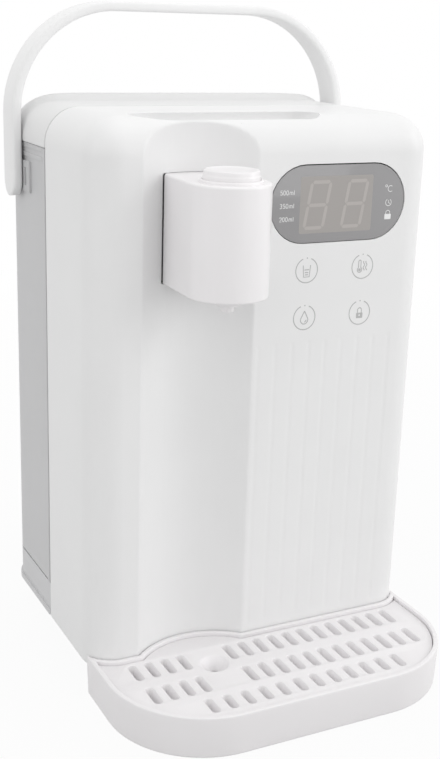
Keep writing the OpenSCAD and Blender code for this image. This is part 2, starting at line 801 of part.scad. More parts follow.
module power_board() color(board_green) {
    back = chassis_front - power_post;
    front = back - board_t;
    upright(power_x, power_z, front, back) square([power_w, power_h], center = true);
    for (side = [-1, 1])
        upright(power_x + relay_x, power_z + side * relay_step, front - relay_t, front)
            square([relay_w, relay_h], center = true);
    for (i = [-1, 0, 1]) rod_y(power_x + can_x, front - can_l, front, power_z + i * can_step, can_d);
}

module inlet_hose() color(silicone) {
    run_y(0, heater_y + bend_r, y_dock - socket_d / 2 - barb_clear, hose_z, hose_d, hose_bore_d);
    bend([-bend_r, heater_y + bend_r, hose_z], across, -90, bend_r, hose_d, hose_bore_d);
    run_x(pump_x + pump_d / 2 + barb_clear, -bend_r, heater_y, hose_z, hose_d, hose_bore_d);
}
module pump_hose() color(silicone) {
    run_x(pump_x + pump_d / 2 + barb_clear, heater_x - bend_r, heater_y, outlet_z, hose_d, hose_bore_d);
    bend([heater_x - bend_r, heater_y, outlet_z + bend_r], facing, -90, bend_r, hose_d, hose_bore_d);
    run_z(heater_x, heater_y, outlet_z + bend_r, heater_low - cap_h - barb_clear, hose_d, hose_bore_d);
}
module outlet_hose() color(silicone) {
    top = heater_low + heater_l + cap_h;
    run_z(heater_x, heater_y, top + barb_clear, pipe_z - bend_r, hose_d, hose_bore_d);
    bend([heater_x - bend_r, heater_y, pipe_z - bend_r], facing, 0, bend_r, hose_d, hose_bore_d);
    run_x(spout_x + bend_r, heater_x - bend_r, heater_y, pipe_z, hose_d, hose_bore_d);
    bend([spout_x + bend_r, heater_y - bend_r, pipe_z], across, 90, bend_r, hose_d, hose_bore_d);
    run_y(spout_x, pad_y + nut_t + neck_end + barb_clear, heater_y - bend_r, pipe_z, hose_d, hose_bore_d);
}

module water_tank() color(smoke) difference() {
    far = tank_half - wall - stud_boss_l;
    union() {
        flat(tank_low, tank_top) rear_plan(tank_inset, 0);
        for (drop = [0, rim_band_h + rim_band_gap])
            flat(tank_top - rim_band_h - drop, tank_top - drop) rear_plan(tank_inset - rim_band_t, 0);
    }
    difference() {
        flat(tank_floor_top, tank_top + over) rear_plan(tank_inset + wall, wall);
        for (side = [0, 1]) mirror([side, 0, 0]) rod_x(far, tank_half, pivot_y, pivot_z, stud_boss_d);
    }
    rod_z(0, y_dock, 0, tank_floor_top + over, collar_d + 2 * fit_gap);
    for (side = [-1, 1]) stud(side, tank_half - stud_in - fit_gap, half_w, turn_gap);
}
module valve_collar() color(soft_white) difference() {
    low = tank_low - neck_drop;
    union() {
        rod_z(0, y_dock, low, tank_floor_top + over, collar_d);
        rod_z(0, y_dock, tank_floor_top, valve_seat_z, valve_flange_d);
    }
    rod_z(0, y_dock, low - over, web_low, valve_bore);
    rod_z(0, y_dock, web_low + web_h, valve_seat_z + over, valve_bore);
    rod_z(0, y_dock, low, valve_seat_z, valve_stem_d + 2 * turn_gap);
    for (turn = [0, 90, 180, 270])
        translate([0, y_dock, low]) rotate(turn) rod_z(valve_bore / 3, 0, 0, neck_drop, web_hole_d);
}
module valve_seal() color(silicone)
    tube_z(0, y_dock, valve_seat_z, valve_seat_z + valve_seal_h, poppet_d, valve_bore + 2 * valve_seal_edge);
module valve_poppet() color(silicone) {
    rod_z(0, y_dock, poppet_tip, poppet_low + over, valve_stem_d);
    rod_z(0, y_dock, poppet_low, poppet_low + poppet_h, poppet_d);
}
module valve_spring() color(steel)
    tube_z(0, y_dock, poppet_low + poppet_h, cage_top - cage_roof,
           valve_spring_d, valve_spring_d - 2 * valve_spring_t);
module valve_cage() color(soft_white) difference() {
    rod_z(0, y_dock, valve_seat_z, cage_top, cage_d);
    rod_z(0, y_dock, valve_seat_z - over, cage_top - cage_roof, cage_bore_d);
    for (turn = [0, 90]) translate([0, y_dock, 0]) rotate(turn)
        block([-cage_d, -cage_bore_d / 4, valve_seat_z + cage_foot],
              [cage_d, cage_bore_d / 4, cage_top - 2 * cage_roof]);
}

// Stud on one side of the tank, from x0 to x1 measured outwards, grown all round by gap
module stud(side, x0, x1, gap) {
    d = stud_d + 2 * gap;
    if (side > 0) rod_x(x0, x1, pivot_y, pivot_z, d);
    else rod_x(-x1, -x0, pivot_y, pivot_z, d);
}
module handle_brackets() color(smoke) for (side = [0, 1]) mirror([side, 0, 0]) difference() {
    low_y = pivot_y - bracket_ahead;
    mid_z = pivot_z + bracket_lift;
    block([tank_half, low_y, mid_z - bracket_h / 2],
          [tank_half + bracket_t, pivot_y + bracket_behind, mid_z + bracket_h / 2]);
    block([tank_half - over, low_y + bracket_slot_y - bracket_slot_w / 2, mid_z - bracket_slot_h / 2],
          [half_w + over, low_y + bracket_slot_y + bracket_slot_w / 2, mid_z + bracket_slot_h / 2]);
    stud(1, tank_half - over, half_w + over, turn_gap);
}
module handle() color(white) difference() {
    top = pivot_z + handle_h;
    low = pivot_z - handle_w / 2;
    intersection() {
        upright(0, 0, pivot_y - handle_w / 2, pivot_y + handle_w / 2) difference() {
            round_plan(handle_outer, low, top, 0, handle_arch_r);
            round_plan(handle_inner, low - over, top - handle_t, 0, handle_arch_r - handle_t);
        }
        translate([-handle_outer, pivot_y, 0]) rotate([90, 0, 90]) linear_extrude(2 * handle_outer) {
            translate([-handle_w / 2, pivot_z]) square([handle_w, handle_h]);
            translate([0, pivot_z]) circle(d = handle_w);
        }
    }
    for (side = [-1, 1]) stud(side, handle_inner - over, handle_outer - stud_cap, turn_gap);
}
module handle_studs() color(soft_white)
    for (side = [-1, 1]) stud(side, tank_half - stud_in, handle_outer - stud_cap - fit_gap, 0);

// The lid keeps the shell's rounded top, with a lip that rises at the rear
module lid_form(inset, low) {
    top = body_h - inset;
    intersection() {
        flat(low, body_h + lid_rise) rear_plan(inset, inset);
        upright(0, 0, y_seam, y_rear)
            round_plan(half_w - inset, low, top + lid_rise, 0, top_edge_r - inset + lid_rise);
        translate([-half_w, 0, 0]) rotate([90, 0, 90]) linear_extrude(body_w) lid_side(inset, low, top);
    }
}
module lid_side(inset, low, top) {
    rear = y_rear - inset;
    lip = rear - lid_lip_w;
    difference() {
        union() {
            translate([y_seam, low]) square([rear - y_seam, top - low]);
            polygon([[lip - lid_lip_run, top], [lip, top + lid_rise],
                     [rear, top + lid_rise], [rear, top]]);
        }
        translate([rear, top + lid_rise]) rotate(180) corner_off(top_edge_r - inset);
    }
}
module plug_plan(inset) rear_plan(tank_inset + wall + inset, wall + inset);
module tank_lid() color(white) {
    difference() {
        lid_form(0, lid_low);
        lid_form(wall, lid_low - over);
    }
    flat(tank_top - plug_depth, lid_low + wall) difference() {
        plug_plan(plug_gap);
        plug_plan(plug_gap + plug_t);
    }
    flat(lid_low, lid_low + wall) difference() {
        rear_plan(over, over);
        plug_plan(plug_gap + plug_t);
    }
}
module lid_gasket() color(silicone) {
    low = tank_top - plug_depth + over;
    flat(low, low + gasket_h) difference() {
        plug_plan(fit_gap + screw_fit);
        plug_plan(plug_gap - screw_fit);
    }
}

// Plan of the drip tray, which fits round the front of the body, drawn in by inset
module tray_plan(inset) {
    gap = lift_gap + inset;
    difference() {
        round_plan(tray_half - inset, y_face - tray_reach + inset, y_face + tray_wrap,
                   tray_corner_r - inset, 0);
        difference() {
            round_plan(half_w + gap, y_face - gap, y_seam, front_corner_r + gap, 0);
            translate([channel_x, channel_axis_y]) circle(channel_r - gap);
        }
    }
}
// Hook that holds the tray to the plinth
module hook(side, gap, back) {
    x = side * hook_x;
    block([x - hook_w / 2 - gap, y_face - lift_gap - rim_w / 2, hook_z - gap],
          [x + hook_w / 2 + gap, back, hook_z + hook_t + gap]);
}
module drip_tray() color(white) {
    difference() {
        flat(0, tray_h) tray_plan(0);
        flat(grille_low, tray_h + over) tray_plan(rim_w);
        flat(wall, tray_h) tray_plan(rim_w + ledge_w);
    }
    for (side = [-1, 1]) hook(side, 0, plinth_front + hook_grip);
}
module slot_row(x0, count, pitch, y, length)
    for (i = [0 : count - 1]) translate([x0 + i * pitch, y]) rotate(90) stadium(length, slot_w);
module grille_plan(inset) difference() {
    tray_plan(inset);
    for (row = [rear_row, middle_row]) {
        slot_row(row_end_x - (row_slots - 1) * slot_pitch, row_slots, slot_pitch, y_face - row, slot_l);
        slot_row(-row_end_x, side_slots, slot_pitch, y_face - row, slot_l);
    }
    slot_row(front_row_middle - (row_slots - 1) / 2 * front_slot_pitch, row_slots, front_slot_pitch,
             y_face - front_row, front_slot_l);
    translate([-finger_hole_x, y_face - finger_hole_y]) circle(d = finger_hole_d);
}
module drip_grille() color(white) {
    low = grille_low + fit_gap;
    flat(low, tray_h - grille_sink) grille_plan(rim_w + grille_gap);
    flat(low - slot_wall, low + over) grille_plan(rim_w + ledge_w + slot_wall_edge);
}

front_shell();
chassis_wall();
chassis_screws();
display_lens();
display_module();
control_board();
touch_pads();
board_screws();
spout_head();
spout_base();
spout_nozzle();
spout_pipe();
spout_nut();
button_bezel();
tap_button();
button_spring();
switch_shelf();
button_switch();
base_deck();
base_plinth();
base_screws();
rubber_feet();
cord_inlet();
dock_socket();
dock_seal();
pump_pad();
pump_housing();
pump_motor();
pump_impeller();
heater_tube();
heater_caps();
heater_clamps();
thermostat();
temperature_sensor();
power_board();
inlet_hose();
pump_hose();
outlet_hose();
water_tank();
valve_collar();
valve_seal();
valve_poppet();
valve_spring();
valve_cage();
handle_brackets();
handle();
handle_studs();
tank_lid();
lid_gasket();
drip_tray();
drip_grille();
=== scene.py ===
"""Looks of a countertop instant hot water dispenser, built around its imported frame.

Sizes are in millimetres and turn into metres when a mesh is made. X runs to the right, Y to the
rear and Z up from the table.
"""

import json
from math import acos, asin, atan2, ceil, copysign, cos, degrees, pi, radians, sin, sqrt

import bmesh
import bpy
from mathutils import Matrix, Vector

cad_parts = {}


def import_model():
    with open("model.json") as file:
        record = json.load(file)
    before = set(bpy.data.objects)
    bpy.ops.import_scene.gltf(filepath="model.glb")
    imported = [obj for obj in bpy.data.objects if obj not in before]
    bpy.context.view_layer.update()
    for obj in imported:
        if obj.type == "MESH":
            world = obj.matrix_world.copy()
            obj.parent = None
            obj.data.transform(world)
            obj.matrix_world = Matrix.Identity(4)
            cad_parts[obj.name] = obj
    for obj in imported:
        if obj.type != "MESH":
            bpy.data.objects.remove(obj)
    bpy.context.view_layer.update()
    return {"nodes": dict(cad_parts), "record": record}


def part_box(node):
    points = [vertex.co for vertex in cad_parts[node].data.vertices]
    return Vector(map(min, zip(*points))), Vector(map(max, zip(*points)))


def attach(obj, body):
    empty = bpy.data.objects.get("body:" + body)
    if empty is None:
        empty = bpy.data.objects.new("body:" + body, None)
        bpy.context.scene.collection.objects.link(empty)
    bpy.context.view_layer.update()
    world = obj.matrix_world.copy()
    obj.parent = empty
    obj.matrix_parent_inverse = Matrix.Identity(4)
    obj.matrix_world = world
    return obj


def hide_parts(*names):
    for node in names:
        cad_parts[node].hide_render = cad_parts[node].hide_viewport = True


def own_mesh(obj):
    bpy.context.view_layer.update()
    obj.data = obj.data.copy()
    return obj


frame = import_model()
MM = 0.001


def box_mm(node):
    """Lowest and highest corner of a node, in millimetres."""
    low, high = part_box(node)
    return low / MM, high / MM


# Sizes of the front shell
shell_low, shell_high = box_mm("front_shell")
HALF_W = shell_high.x
Y_FACE = shell_low.y
SEAM_TRIM = 0.4
Y_SEAM = shell_high.y - SEAM_TRIM
TOP = shell_high.z
WALL = 2.5
CORNER_R = 16
CORNER_R_TOP = 1.3
CORNER_LEAST_R = 0.3
TOP_R = 18
SEAM_EDGE = 0.35
CHANNEL_X = -38.5
CHANNEL_W = 58.7
CHANNEL_DEPTH = 11.5
CHANNEL_EDGE = 0.9
CHANNEL_LEAN_Z = 255
CHANNEL_LEAN = 0.28
channel_r = (CHANNEL_W ** 2 / 4 + CHANNEL_DEPTH ** 2) / (2 * CHANNEL_DEPTH)
channel_axis_y = Y_FACE + CHANNEL_DEPTH - channel_r
SCOOP_X = -18.5
SCOOP_W = 101
SCOOP_R = 9
SCOOP_LEFT_END = 24
SCOOP_LEAST_R = 1
SCOOP_TURN = radians(120)
scoop_y = Y_FACE + TOP_R
FLUTE_COUNT = 9
FLUTE_PITCH = 9.56
FLUTE_X = 32.8
FLUTE_W = 3.2
FLUTE_DEPTH = 0.17
FLUTE_LOW = 27
FLUTE_TOP_DROP = 111.4
flute_high = TOP - FLUTE_TOP_DROP
lens_low, lens_high = box_mm("display_lens")
lens_mid = (lens_low + lens_high) / 2
LENS_LONGER = 0.8
LENS_GAP = 0.2


# Lines and outlines
def spaced(low, high, step):
    """Even places from low to high, at most step apart."""
    count = max(1, ceil((high - low) / step))
    return [low + (high - low) * i / count for i in range(count + 1)]


def arc(cx, cy, r, start, end, steps):
    """Points along an arc, with its angles in degrees."""
    angles = [radians(start + (end - start) * i / steps) for i in range(steps + 1)]
    return [(cx + r * cos(a), cy + r * sin(a)) for a in angles]


def soften(corners, closed=False, steps=4):
    """Line through (u, v, cut) corners, each rounded over its cut."""
    line = []
    for i, (u, v, cut) in enumerate(corners):
        if cut == 0 or (not closed and i in (0, len(corners) - 1)):
            line.append((u, v))
            continue
        here = Vector((u, v))
        before = Vector(corners[i - 1][:2]) - here
        after = Vector(corners[(i + 1) % len(corners)][:2]) - here
        start = here + before.normalized() * cut
        end = here + after.normalized() * cut
        for t in spaced(0, 1, 1 / steps):
            point = start * (1 - t) ** 2 + here * 2 * t * (1 - t) + end * t ** 2
            line.append((point.x, point.y))
    return line


def rounded_rect(x0, y0, x1, y1, cut):
    """Closed outline of a rectangle with rounded corners."""
    return soften([(x0, y0, cut), (x1, y0, cut), (x1, y1, cut), (x0, y1, cut)], True)


def stadium(x, y, w, h):
    """Closed outline of a lying or standing bar with round ends."""
    if w > h:
        reach = (w - h) / 2
        return arc(x + reach, y, h / 2, -90, 90, 16) + arc(x - reach, y, h / 2, 90, 270, 16)
    reach = (h - w) / 2
    return arc(x, y + reach, w / 2, 0, 180, 12) + arc(x, y - reach, w / 2, 180, 360, 12)


def circle(x, y, r, steps=64):
    return arc(x, y, r, 0, 360 - 360 / steps, steps - 1)


def blend_max(a, b, width):
    """The larger of two values, blended where they are within width."""
    near = max(width - abs(a - b), 0) / width
    return max(a, b) + near * near * width / 4


def smooth_step(t):
    t = min(max(t, 0), 1)
    return t * t * (3 - 2 * t)


# Shapes are pairs of points and faces, in millimetres
def pairs(count, closed):
    return [(i, (i + 1) % count) for i in range(count if closed else count - 1)]


def loft(rings, wrap=False, caps=True):
    """Skin over closed rings of equal count, capped or wrapped round."""
    n = len(rings[0])
    points = [p for ring in rings for p in ring]
    faces = [(a * n + i, a * n + j, b * n + j, b * n + i)
             for a, b in pairs(len(rings), wrap) for i, j in pairs(n, True)]
    if caps and not wrap:
        faces.append(tuple(range(n)))
        faces.append(tuple(range(len(points) - n, len(points))))
    return points, faces


def lathe(profile, wrap=False, steps=72):
    """Solid turned about Z from (radius, height) points."""
    rings = [[(x, y, h) for x, y in circle(0, 0, r, steps)] for r, h in profile]
    return loft(rings, wrap, caps=False)


def joined(*shapes):
    points, faces = [], []
    for more_points, more_faces in shapes:
        start = len(points)
        points += more_points
        faces += [tuple(start + i for i in face) for face in more_faces]
    return points, faces


def placed(shape, x=0, y=0, z=0, turn=None):
    """The shape turned about the origin and then moved."""
    move = Matrix.Translation((x, y, z)) @ (turn or Matrix())
    return [move @ Vector(p) for p in shape[0]], shape[1]


def rotation(angle, axis):
    return Matrix.Rotation(radians(angle), 4, axis)


FACING = rotation(90, "X")
BACKWARDS = rotation(-90, "X")


def set_up(thing, **settings):
    """Makes settings of a Blender object and returns it."""
    for name, value in settings.items():
        setattr(thing, name, value)
    return thing


def linked(name, data):
    """New object in the scene."""
    obj = bpy.data.objects.new(name, data)
    bpy.context.scene.collection.objects.link(obj)
    return obj


def evaluated(obj):
    """New mesh of an object with its modifiers applied."""
    return bpy.data.meshes.new_from_object(obj.evaluated_get(bpy.context.evaluated_depsgraph_get()))


def curve_shape(loops, closed, **settings):
    """Shape of a curve with settings, drawn through flat loops."""
    curve = set_up(bpy.data.curves.new("drawn", "CURVE"), **settings)
    for loop in loops:
        spline = curve.splines.new("POLY")
        spline.points.add(len(loop) - 1)
        for point, (x, y) in zip(spline.points, loop):
            point.co = (x, y, 0, 1)
        spline.use_cyclic_u = closed
    obj = linked("drawn", curve)
    mesh = evaluated(obj)
    points = [v.co.copy() for v in mesh.vertices]
    faces = [tuple(f.vertices) for f in mesh.polygons]
    bpy.data.objects.remove(obj)
    bpy.data.curves.remove(curve)
    bpy.data.meshes.remove(mesh)
    return points, faces


def plate(loops, low, high, edge):
    """Flat piece within closed loops, with softened edges, from low to high."""
    half = (high - low) / 2 - edge
    shape = curve_shape(loops, True, dimensions="2D", fill_mode="BOTH", extrude=half,
                        bevel_depth=edge, bevel_resolution=2, offset=-edge)
    return placed(shape, z=(low + high) / 2)


def strokes(lines, width, rise):
    """Drawn lines as ridges of a width that stand rise above the XY plane."""
    points, faces = curve_shape(lines, False, dimensions="3D", bevel_depth=width / 2,
                                bevel_resolution=1, use_fill_caps=True)
    return [Vector((p.x, p.y, p.z * rise * 2 / width)) for p in points], faces


def flat(loops, z):
    """Face at a height, bounded by an outline with the holes in it."""
    return placed(curve_shape(loops, True, dimensions="2D", fill_mode="BACK"), z=z)


def node_shape(node):
    """Shape of a node as it was packed."""
    mesh = frame["nodes"][node].data
    return [v.co / MM for v in mesh.vertices], [tuple(f.vertices) for f in mesh.polygons]


# Materials
def linear(level):
    """Linear value of a display value from 0 to 255."""
    share = level / 255
    return share / 12.92 if share <= 0.04045 else ((share + 0.055) / 1.055) ** 2.4


def shade(*levels):
    return [linear(level) for level in levels] + [1]


def feed(tree, node, sockets):
    """Gives sockets of a node their values, or links from other nodes."""
    for socket, value in sockets.items():
        if isinstance(value, bpy.types.NodeSocket):
            tree.links.new(value, node.inputs[socket])
        else:
            node.inputs[socket].default_value = value


def add_node(tree, kind, sockets, **settings):
    """New shader node with its settings made and its sockets fed."""
    node = set_up(tree.nodes.new("ShaderNode" + kind), **settings)
    feed(tree, node, sockets)
    return node


class Look:
    """A material whose shader is fed by noises."""

    def __init__(self, name, **sockets):
        self.material = bpy.data.materials.new(name)
        self.material.use_nodes = True
        self.tree = self.material.node_tree
        self.shader = self.tree.nodes["Principled BSDF"]
        self.place = self.node("TexCoord", {}).outputs["Object"]
        self.feed({socket.replace("_", " "): value for socket, value in sockets.items()})

    def node(self, kind, sockets, **settings):
        return add_node(self.tree, kind, sockets, **settings)

    def feed(self, sockets):
        feed(self.tree, self.shader, sockets)

    def noise(self, scale, detail=2, stretch=None):
        """Noise of a scale, stretched by a scale for each axis."""
        place = self.place
        if stretch:
            place = self.node("Mapping", {"Scale": stretch, "Vector": place}).outputs["Vector"]
        return self.node("TexNoise", {"Scale": scale, "Detail": detail, "Vector": place}).outputs["Fac"]

    def colours(self, factor, dark, light):
        """Base colour that goes from dark to light with a factor."""
        mix = self.node("Mix", {"A": dark, "B": light, "Factor": factor}, data_type="RGBA")
        self.feed({"Base Color": mix.outputs["Result"]})

    def gloss(self, factor, low, high):
        """Roughness that goes from low to high with a factor."""
        span = self.node("MapRange", {"To Min": low, "To Max": high, "Value": factor})
        self.feed({"Roughness": span.outputs["Result"]})

    def bump(self, height, strength, depth_mm):
        sockets = {"Strength": strength, "Distance": depth_mm * MM, "Height": height}
        self.feed({"Normal": self.node("Bump", sockets).outputs["Normal"]})


CLOUD_SCALE = 35
GLOSS_SCALE = 120
GLOSS_SPREAD = 0.05
GRAIN_STRENGTH = 0.25


def moulded(name, levels, roughness, cloud=2, grain=1800, grain_depth=0.02, **sockets):
    """Moulded plastic with faint clouds, uneven gloss and a fine grain."""
    look = Look(name, **sockets)
    dark = shade(*[level - cloud for level in levels])
    light = shade(*[min(level + cloud, 255) for level in levels])
    look.colours(look.noise(CLOUD_SCALE, 4), dark, light)
    look.gloss(look.noise(GLOSS_SCALE, 3), roughness - GLOSS_SPREAD, roughness + GLOSS_SPREAD)
    look.bump(look.noise(grain, 2), GRAIN_STRENGTH, grain_depth)
    return look.material


def brushed_steel():
    look = Look("brushed_steel", Metallic=1.0)
    lines = look.noise(400, 3, (1, 1, 12))
    look.colours(lines, shade(172, 174, 178), shade(205, 207, 210))
    look.gloss(lines, 0.24, 0.42)
    look.bump(lines, 0.2, 0.02)
    return look.material


def circuit_board():
    """Green board with a net of paler tracks."""
    look = Look("circuit_board", Roughness=0.4, Coat_Weight=0.3)
    tracks = look.node("TexBrick", {
        "Vector": look.place, "Scale": 160, "Mortar Size": 0.03,
        "Color1": shade(38, 104, 70), "Color2": shade(44, 116, 78), "Mortar": shade(92, 150, 112),
    })
    look.feed({"Base Color": tracks.outputs["Color"]})
    look.bump(tracks.outputs["Fac"], 0.3, 0.03)
    return look.material


def seen_rays(tree):
    """1 for rays from the camera, also by way of gloss or glass, else 0."""
    rays = add_node(tree, "LightPath", {}).outputs
    seen = rays["Is Camera Ray"]
    for ray in ("Is Glossy Ray", "Is Transmission Ray"):
        seen = add_node(tree, "Math", {0: seen, 1: rays[ray]}, operation="MAXIMUM").outputs[0]
    return seen


def whitened(tree, share, shader, white, output):
    """Sends a shader to an output, mixed with a share of white."""
    mix = add_node(tree, "MixShader", {0: share, 1: shader.outputs[0], 2: white.outputs[0]})
    feed(tree, tree.nodes[output], {"Surface": mix.outputs[0]})


FLOOR_WHITE = 0.94


def floor_look():
    """Floor that the camera sees white, with part of its shadow."""
    look = Look("floor_white", Roughness=0.9)
    look.colours(look.noise(3), shade(198, 198, 198), shade(202, 202, 202))
    near = look.node("TexGradient", {"Vector": look.place}, gradient_type="SPHERICAL")
    span = look.node("MapRange", {"To Min": 1, "To Max": FLOOR_WHITE, "Value": near.outputs["Fac"]})
    rays = seen_rays(look.tree)
    share = look.node("Math", {0: rays, 1: span.outputs["Result"]}, operation="MULTIPLY")
    white = look.node("Emission", {})
    whitened(look.tree, share.outputs[0], look.shader, white, "Material Output")
    return look.material


WHITE = moulded("white_plastic", (236, 236, 236), 0.36, Specular_IOR_Level=0.35)
# Painted shade: the lid takes a darker copy of the white plastic, so that its brightly lit top looks
# dimmer
LID_SHADED_WHITE = moulded("lid_plastic_painted_shade", (230, 230, 230), 0.38, Specular_IOR_Level=0.35)
HANDLE_WHITE = moulded("handle_plastic", (241, 241, 241), 0.38, Specular_IOR_Level=0.35)
HEAD_WHITE = moulded("head_plastic", (241, 239, 240), 0.32, Coat_Weight=0.15, Coat_Roughness=0.2)
TRAY_WHITE = moulded("tray_plastic", (237, 235, 236), 0.38, Specular_IOR_Level=0.35)
DECK_GREY = moulded("deck_plastic", (208, 208, 209), 0.45)
SOFT_WHITE = moulded("soft_white_plastic", (224, 224, 224), 0.45)
SMOKE = moulded("smoked_tank", (212, 212, 213), 0.4, grain=900, Transmission_Weight=0.15)
LENS = moulded("lens_acrylic", (149, 148, 149), 0.12, cloud=1, grain_depth=0.002, Coat_Weight=0.6)
DIGIT_FIELD = moulded("digit_field", (166, 162, 159), 0.2, cloud=1, grain_depth=0.002)
DIGIT = moulded("digit_segment", (180, 175, 172), 0.25, cloud=1, grain_depth=0.002)
WHITE_INK = moulded("white_ink", (236, 236, 236), 0.5)
GREY_INK = moulded("grey_ink", (184, 184, 184), 0.5)
DARK = moulded("dark_plastic", (58, 59, 61), 0.45, cloud=4)
RUBBER = moulded("rubber", (70, 71, 74), 0.75, cloud=5, grain=700, grain_depth=0.05)
SILICONE = moulded("silicone", (214, 210, 200), 0.5, cloud=3, Subsurface_Weight=0.1)
STEEL = brushed_steel()
BOARD = circuit_board()


# Pieces
MERGE = 2e-6
FLAT_ANGLE = 0.4
SHARP_ANGLE = 38


def welded(name, shape, flatten=False):
    """Mesh of a shape, in metres, without doubled points, its faces outwards."""
    mesh = bpy.data.meshes.new(name)
    mesh.from_pydata([Vector(p) * MM for p in shape[0]], [], shape[1])
    bm = bmesh.new()
    bm.from_mesh(mesh)
    bmesh.ops.remove_doubles(bm, verts=bm.verts, dist=MERGE)
    bmesh.ops.dissolve_degenerate(bm, edges=bm.edges, dist=MERGE)
    if flatten:
        limit = radians(FLAT_ANGLE)
        bmesh.ops.dissolve_limit(bm, angle_limit=limit, verts=bm.verts, edges=bm.edges)
    bmesh.ops.recalc_face_normals(bm, faces=bm.faces)
    bm.to_mesh(mesh)
    bm.free()
    return mesh


def smooth(mesh, sharp):
    """Smooth shading, apart from edges that turn by more than sharp degrees."""
    mesh.shade_smooth()
    mesh.set_sharp_from_angle(angle=radians(sharp))


def piece(name, shape, look, body, node=None, sharp=SHARP_ANGLE, edge=0, flatten=False):
    """Makes a shape a piece that rides a body and may stand for a node."""
    mesh = welded(name, shape, flatten)
    smooth(mesh, sharp)
    mesh.materials.append(look)
    obj = linked(name, mesh)
    if edge:
        bevel = obj.modifiers.new("edges", "BEVEL")
        set_up(bevel, width=edge * MM, segments=2, limit_method="ANGLE",
               angle_limit=radians(sharp), harden_normals=True)
    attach(obj, body)
    if node:
        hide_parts(node)
    return obj


def cut(obj, shape):
    """Takes a shape's volume out of a piece."""
    tool = welded("tool", shape)
    cutter = linked("tool", tool)
    boolean = obj.modifiers.new("cut", "BOOLEAN")
    set_up(boolean, operation="DIFFERENCE", solver="EXACT", object=cutter)
    result = evaluated(obj)
    obj.modifiers.remove(boolean)
    old = obj.data
    name = old.name
    obj.data = result
    bpy.data.meshes.remove(old)
    result.name = name
    bpy.data.objects.remove(cutter)
    bpy.data.meshes.remove(tool)


# Front shell
SHEET_HALF = 72.9
FILLET_STEPS = 22
SCOOP_STEPS = 8
TOP_STEPS = 7
COLUMN_GAP = 0.2
SCOOP_SOFT = 0.2
CHANNEL_STEPS = (-0.8, -0.35, 0, 0.35, 0.8)
FLUTE_SHARES = (-1, -0.6, -0.25, 0.25, 0.6, 1)
FLUTE_END_STEPS = (-1.2, -0.6, 0.6, 1.2)
CHASSIS_BOSS_L = 20
SCREW_HEAD_R = 3.2
BOSS_BORE_R = 1.55
knee_z = TOP - TOP_R
wall_levels = [(0.5, shell_low.z), (0.15, shell_low.z + 0.15), (0, shell_low.z + 0.6)]
wall_levels += [(0, FLUTE_LOW + step) for step in FLUTE_END_STEPS]
wall_levels += [(0, z) for z in spaced(FLUTE_LOW + 12, flute_high - 12, 24)]
wall_levels += [(0, flute_high + step) for step in FLUTE_END_STEPS]
wall_levels += [(0, z) for z in spaced(flute_high + 6, knee_z, 8)]


def flute_x(i):
    return FLUTE_X + (i - (FLUTE_COUNT - 1) / 2) * FLUTE_PITCH


def shell_columns():
    """Places across the front where the skin has a column of points."""
    edge = CHANNEL_W / 2
    wanted = [-SHEET_HALF, SHEET_HALF]
    wanted += [CHANNEL_X + side * (edge + step) for side in (-1, 1) for step in CHANNEL_STEPS]
    wanted += [flute_x(i) + s * FLUTE_W / 2 for i in range(FLUTE_COUNT) for s in FLUTE_SHARES]
    for side, end in ((-1, SCOOP_LEFT_END), (1, SCOOP_R)):
        turns = [radians(a) for a in range(90, -1, -9)]
        wanted += [SCOOP_X + side * (SCOOP_W / 2 - end + end * sin(turn)) for turn in turns]
    wanted += [CHANNEL_X + s for s in spaced(-edge, edge, 1.3)]
    wanted += spaced(-SHEET_HALF, SHEET_HALF, 3)
    kept = []
    for x in wanted:
        if all(abs(x - other) > COLUMN_GAP for other in kept):
            kept.append(x)
    return sorted(kept)


def channel_back(x, z, inset):
    """Where the channel's back lies, or far in front beside it."""
    across = (channel_r + inset) ** 2 - (x - CHANNEL_X) ** 2
    if across <= 0:
        return 2 * Y_FACE
    lean = CHANNEL_LEAN * max(0, (z - CHANNEL_LEAN_Z) / (TOP - CHANNEL_LEAN_Z)) ** 2
    depth = channel_axis_y + sqrt(across) - Y_FACE - inset
    return Y_FACE + inset + (depth * (1 - lean) if depth > 0 else depth)


def channel_y(x, y, z, inset):
    """Depth of the skin at x, where it lies at y away from the spout's channel."""
    return blend_max(y, channel_back(x, z, inset), CHANNEL_EDGE)


def flute_depth(x, z):
    """How far the flutes sink the panel at a place."""
    i = round((x - FLUTE_X) / FLUTE_PITCH + (FLUTE_COUNT - 1) / 2)
    if not 0 <= i < FLUTE_COUNT:
        return 0
    across = 1 - abs(x - flute_x(i)) / (FLUTE_W / 2)
    along = min(z - FLUTE_LOW, flute_high - z)
    return FLUTE_DEPTH * smooth_step(across * 1.3) * smooth_step(along + 0.6)


def scoop_radius(x):
    """Radius of the finger scoop at a place across the top, or 0 beside it."""
    end = SCOOP_LEFT_END if x < SCOOP_X else SCOOP_R
    past = max(0, abs(x - SCOOP_X) - SCOOP_W / 2 + end)
    return SCOOP_R * sqrt(max(0, 1 - (past / end) ** 2))


def wall_points(x, inset):
    """The part of a column below the rounded top edge."""
    points = []
    for d, z in wall_levels:
        y = channel_y(x, Y_FACE + inset + (0 if inset else d), z, inset)
        points.append((x, y if inset else y + flute_depth(x, z), z))
    return points


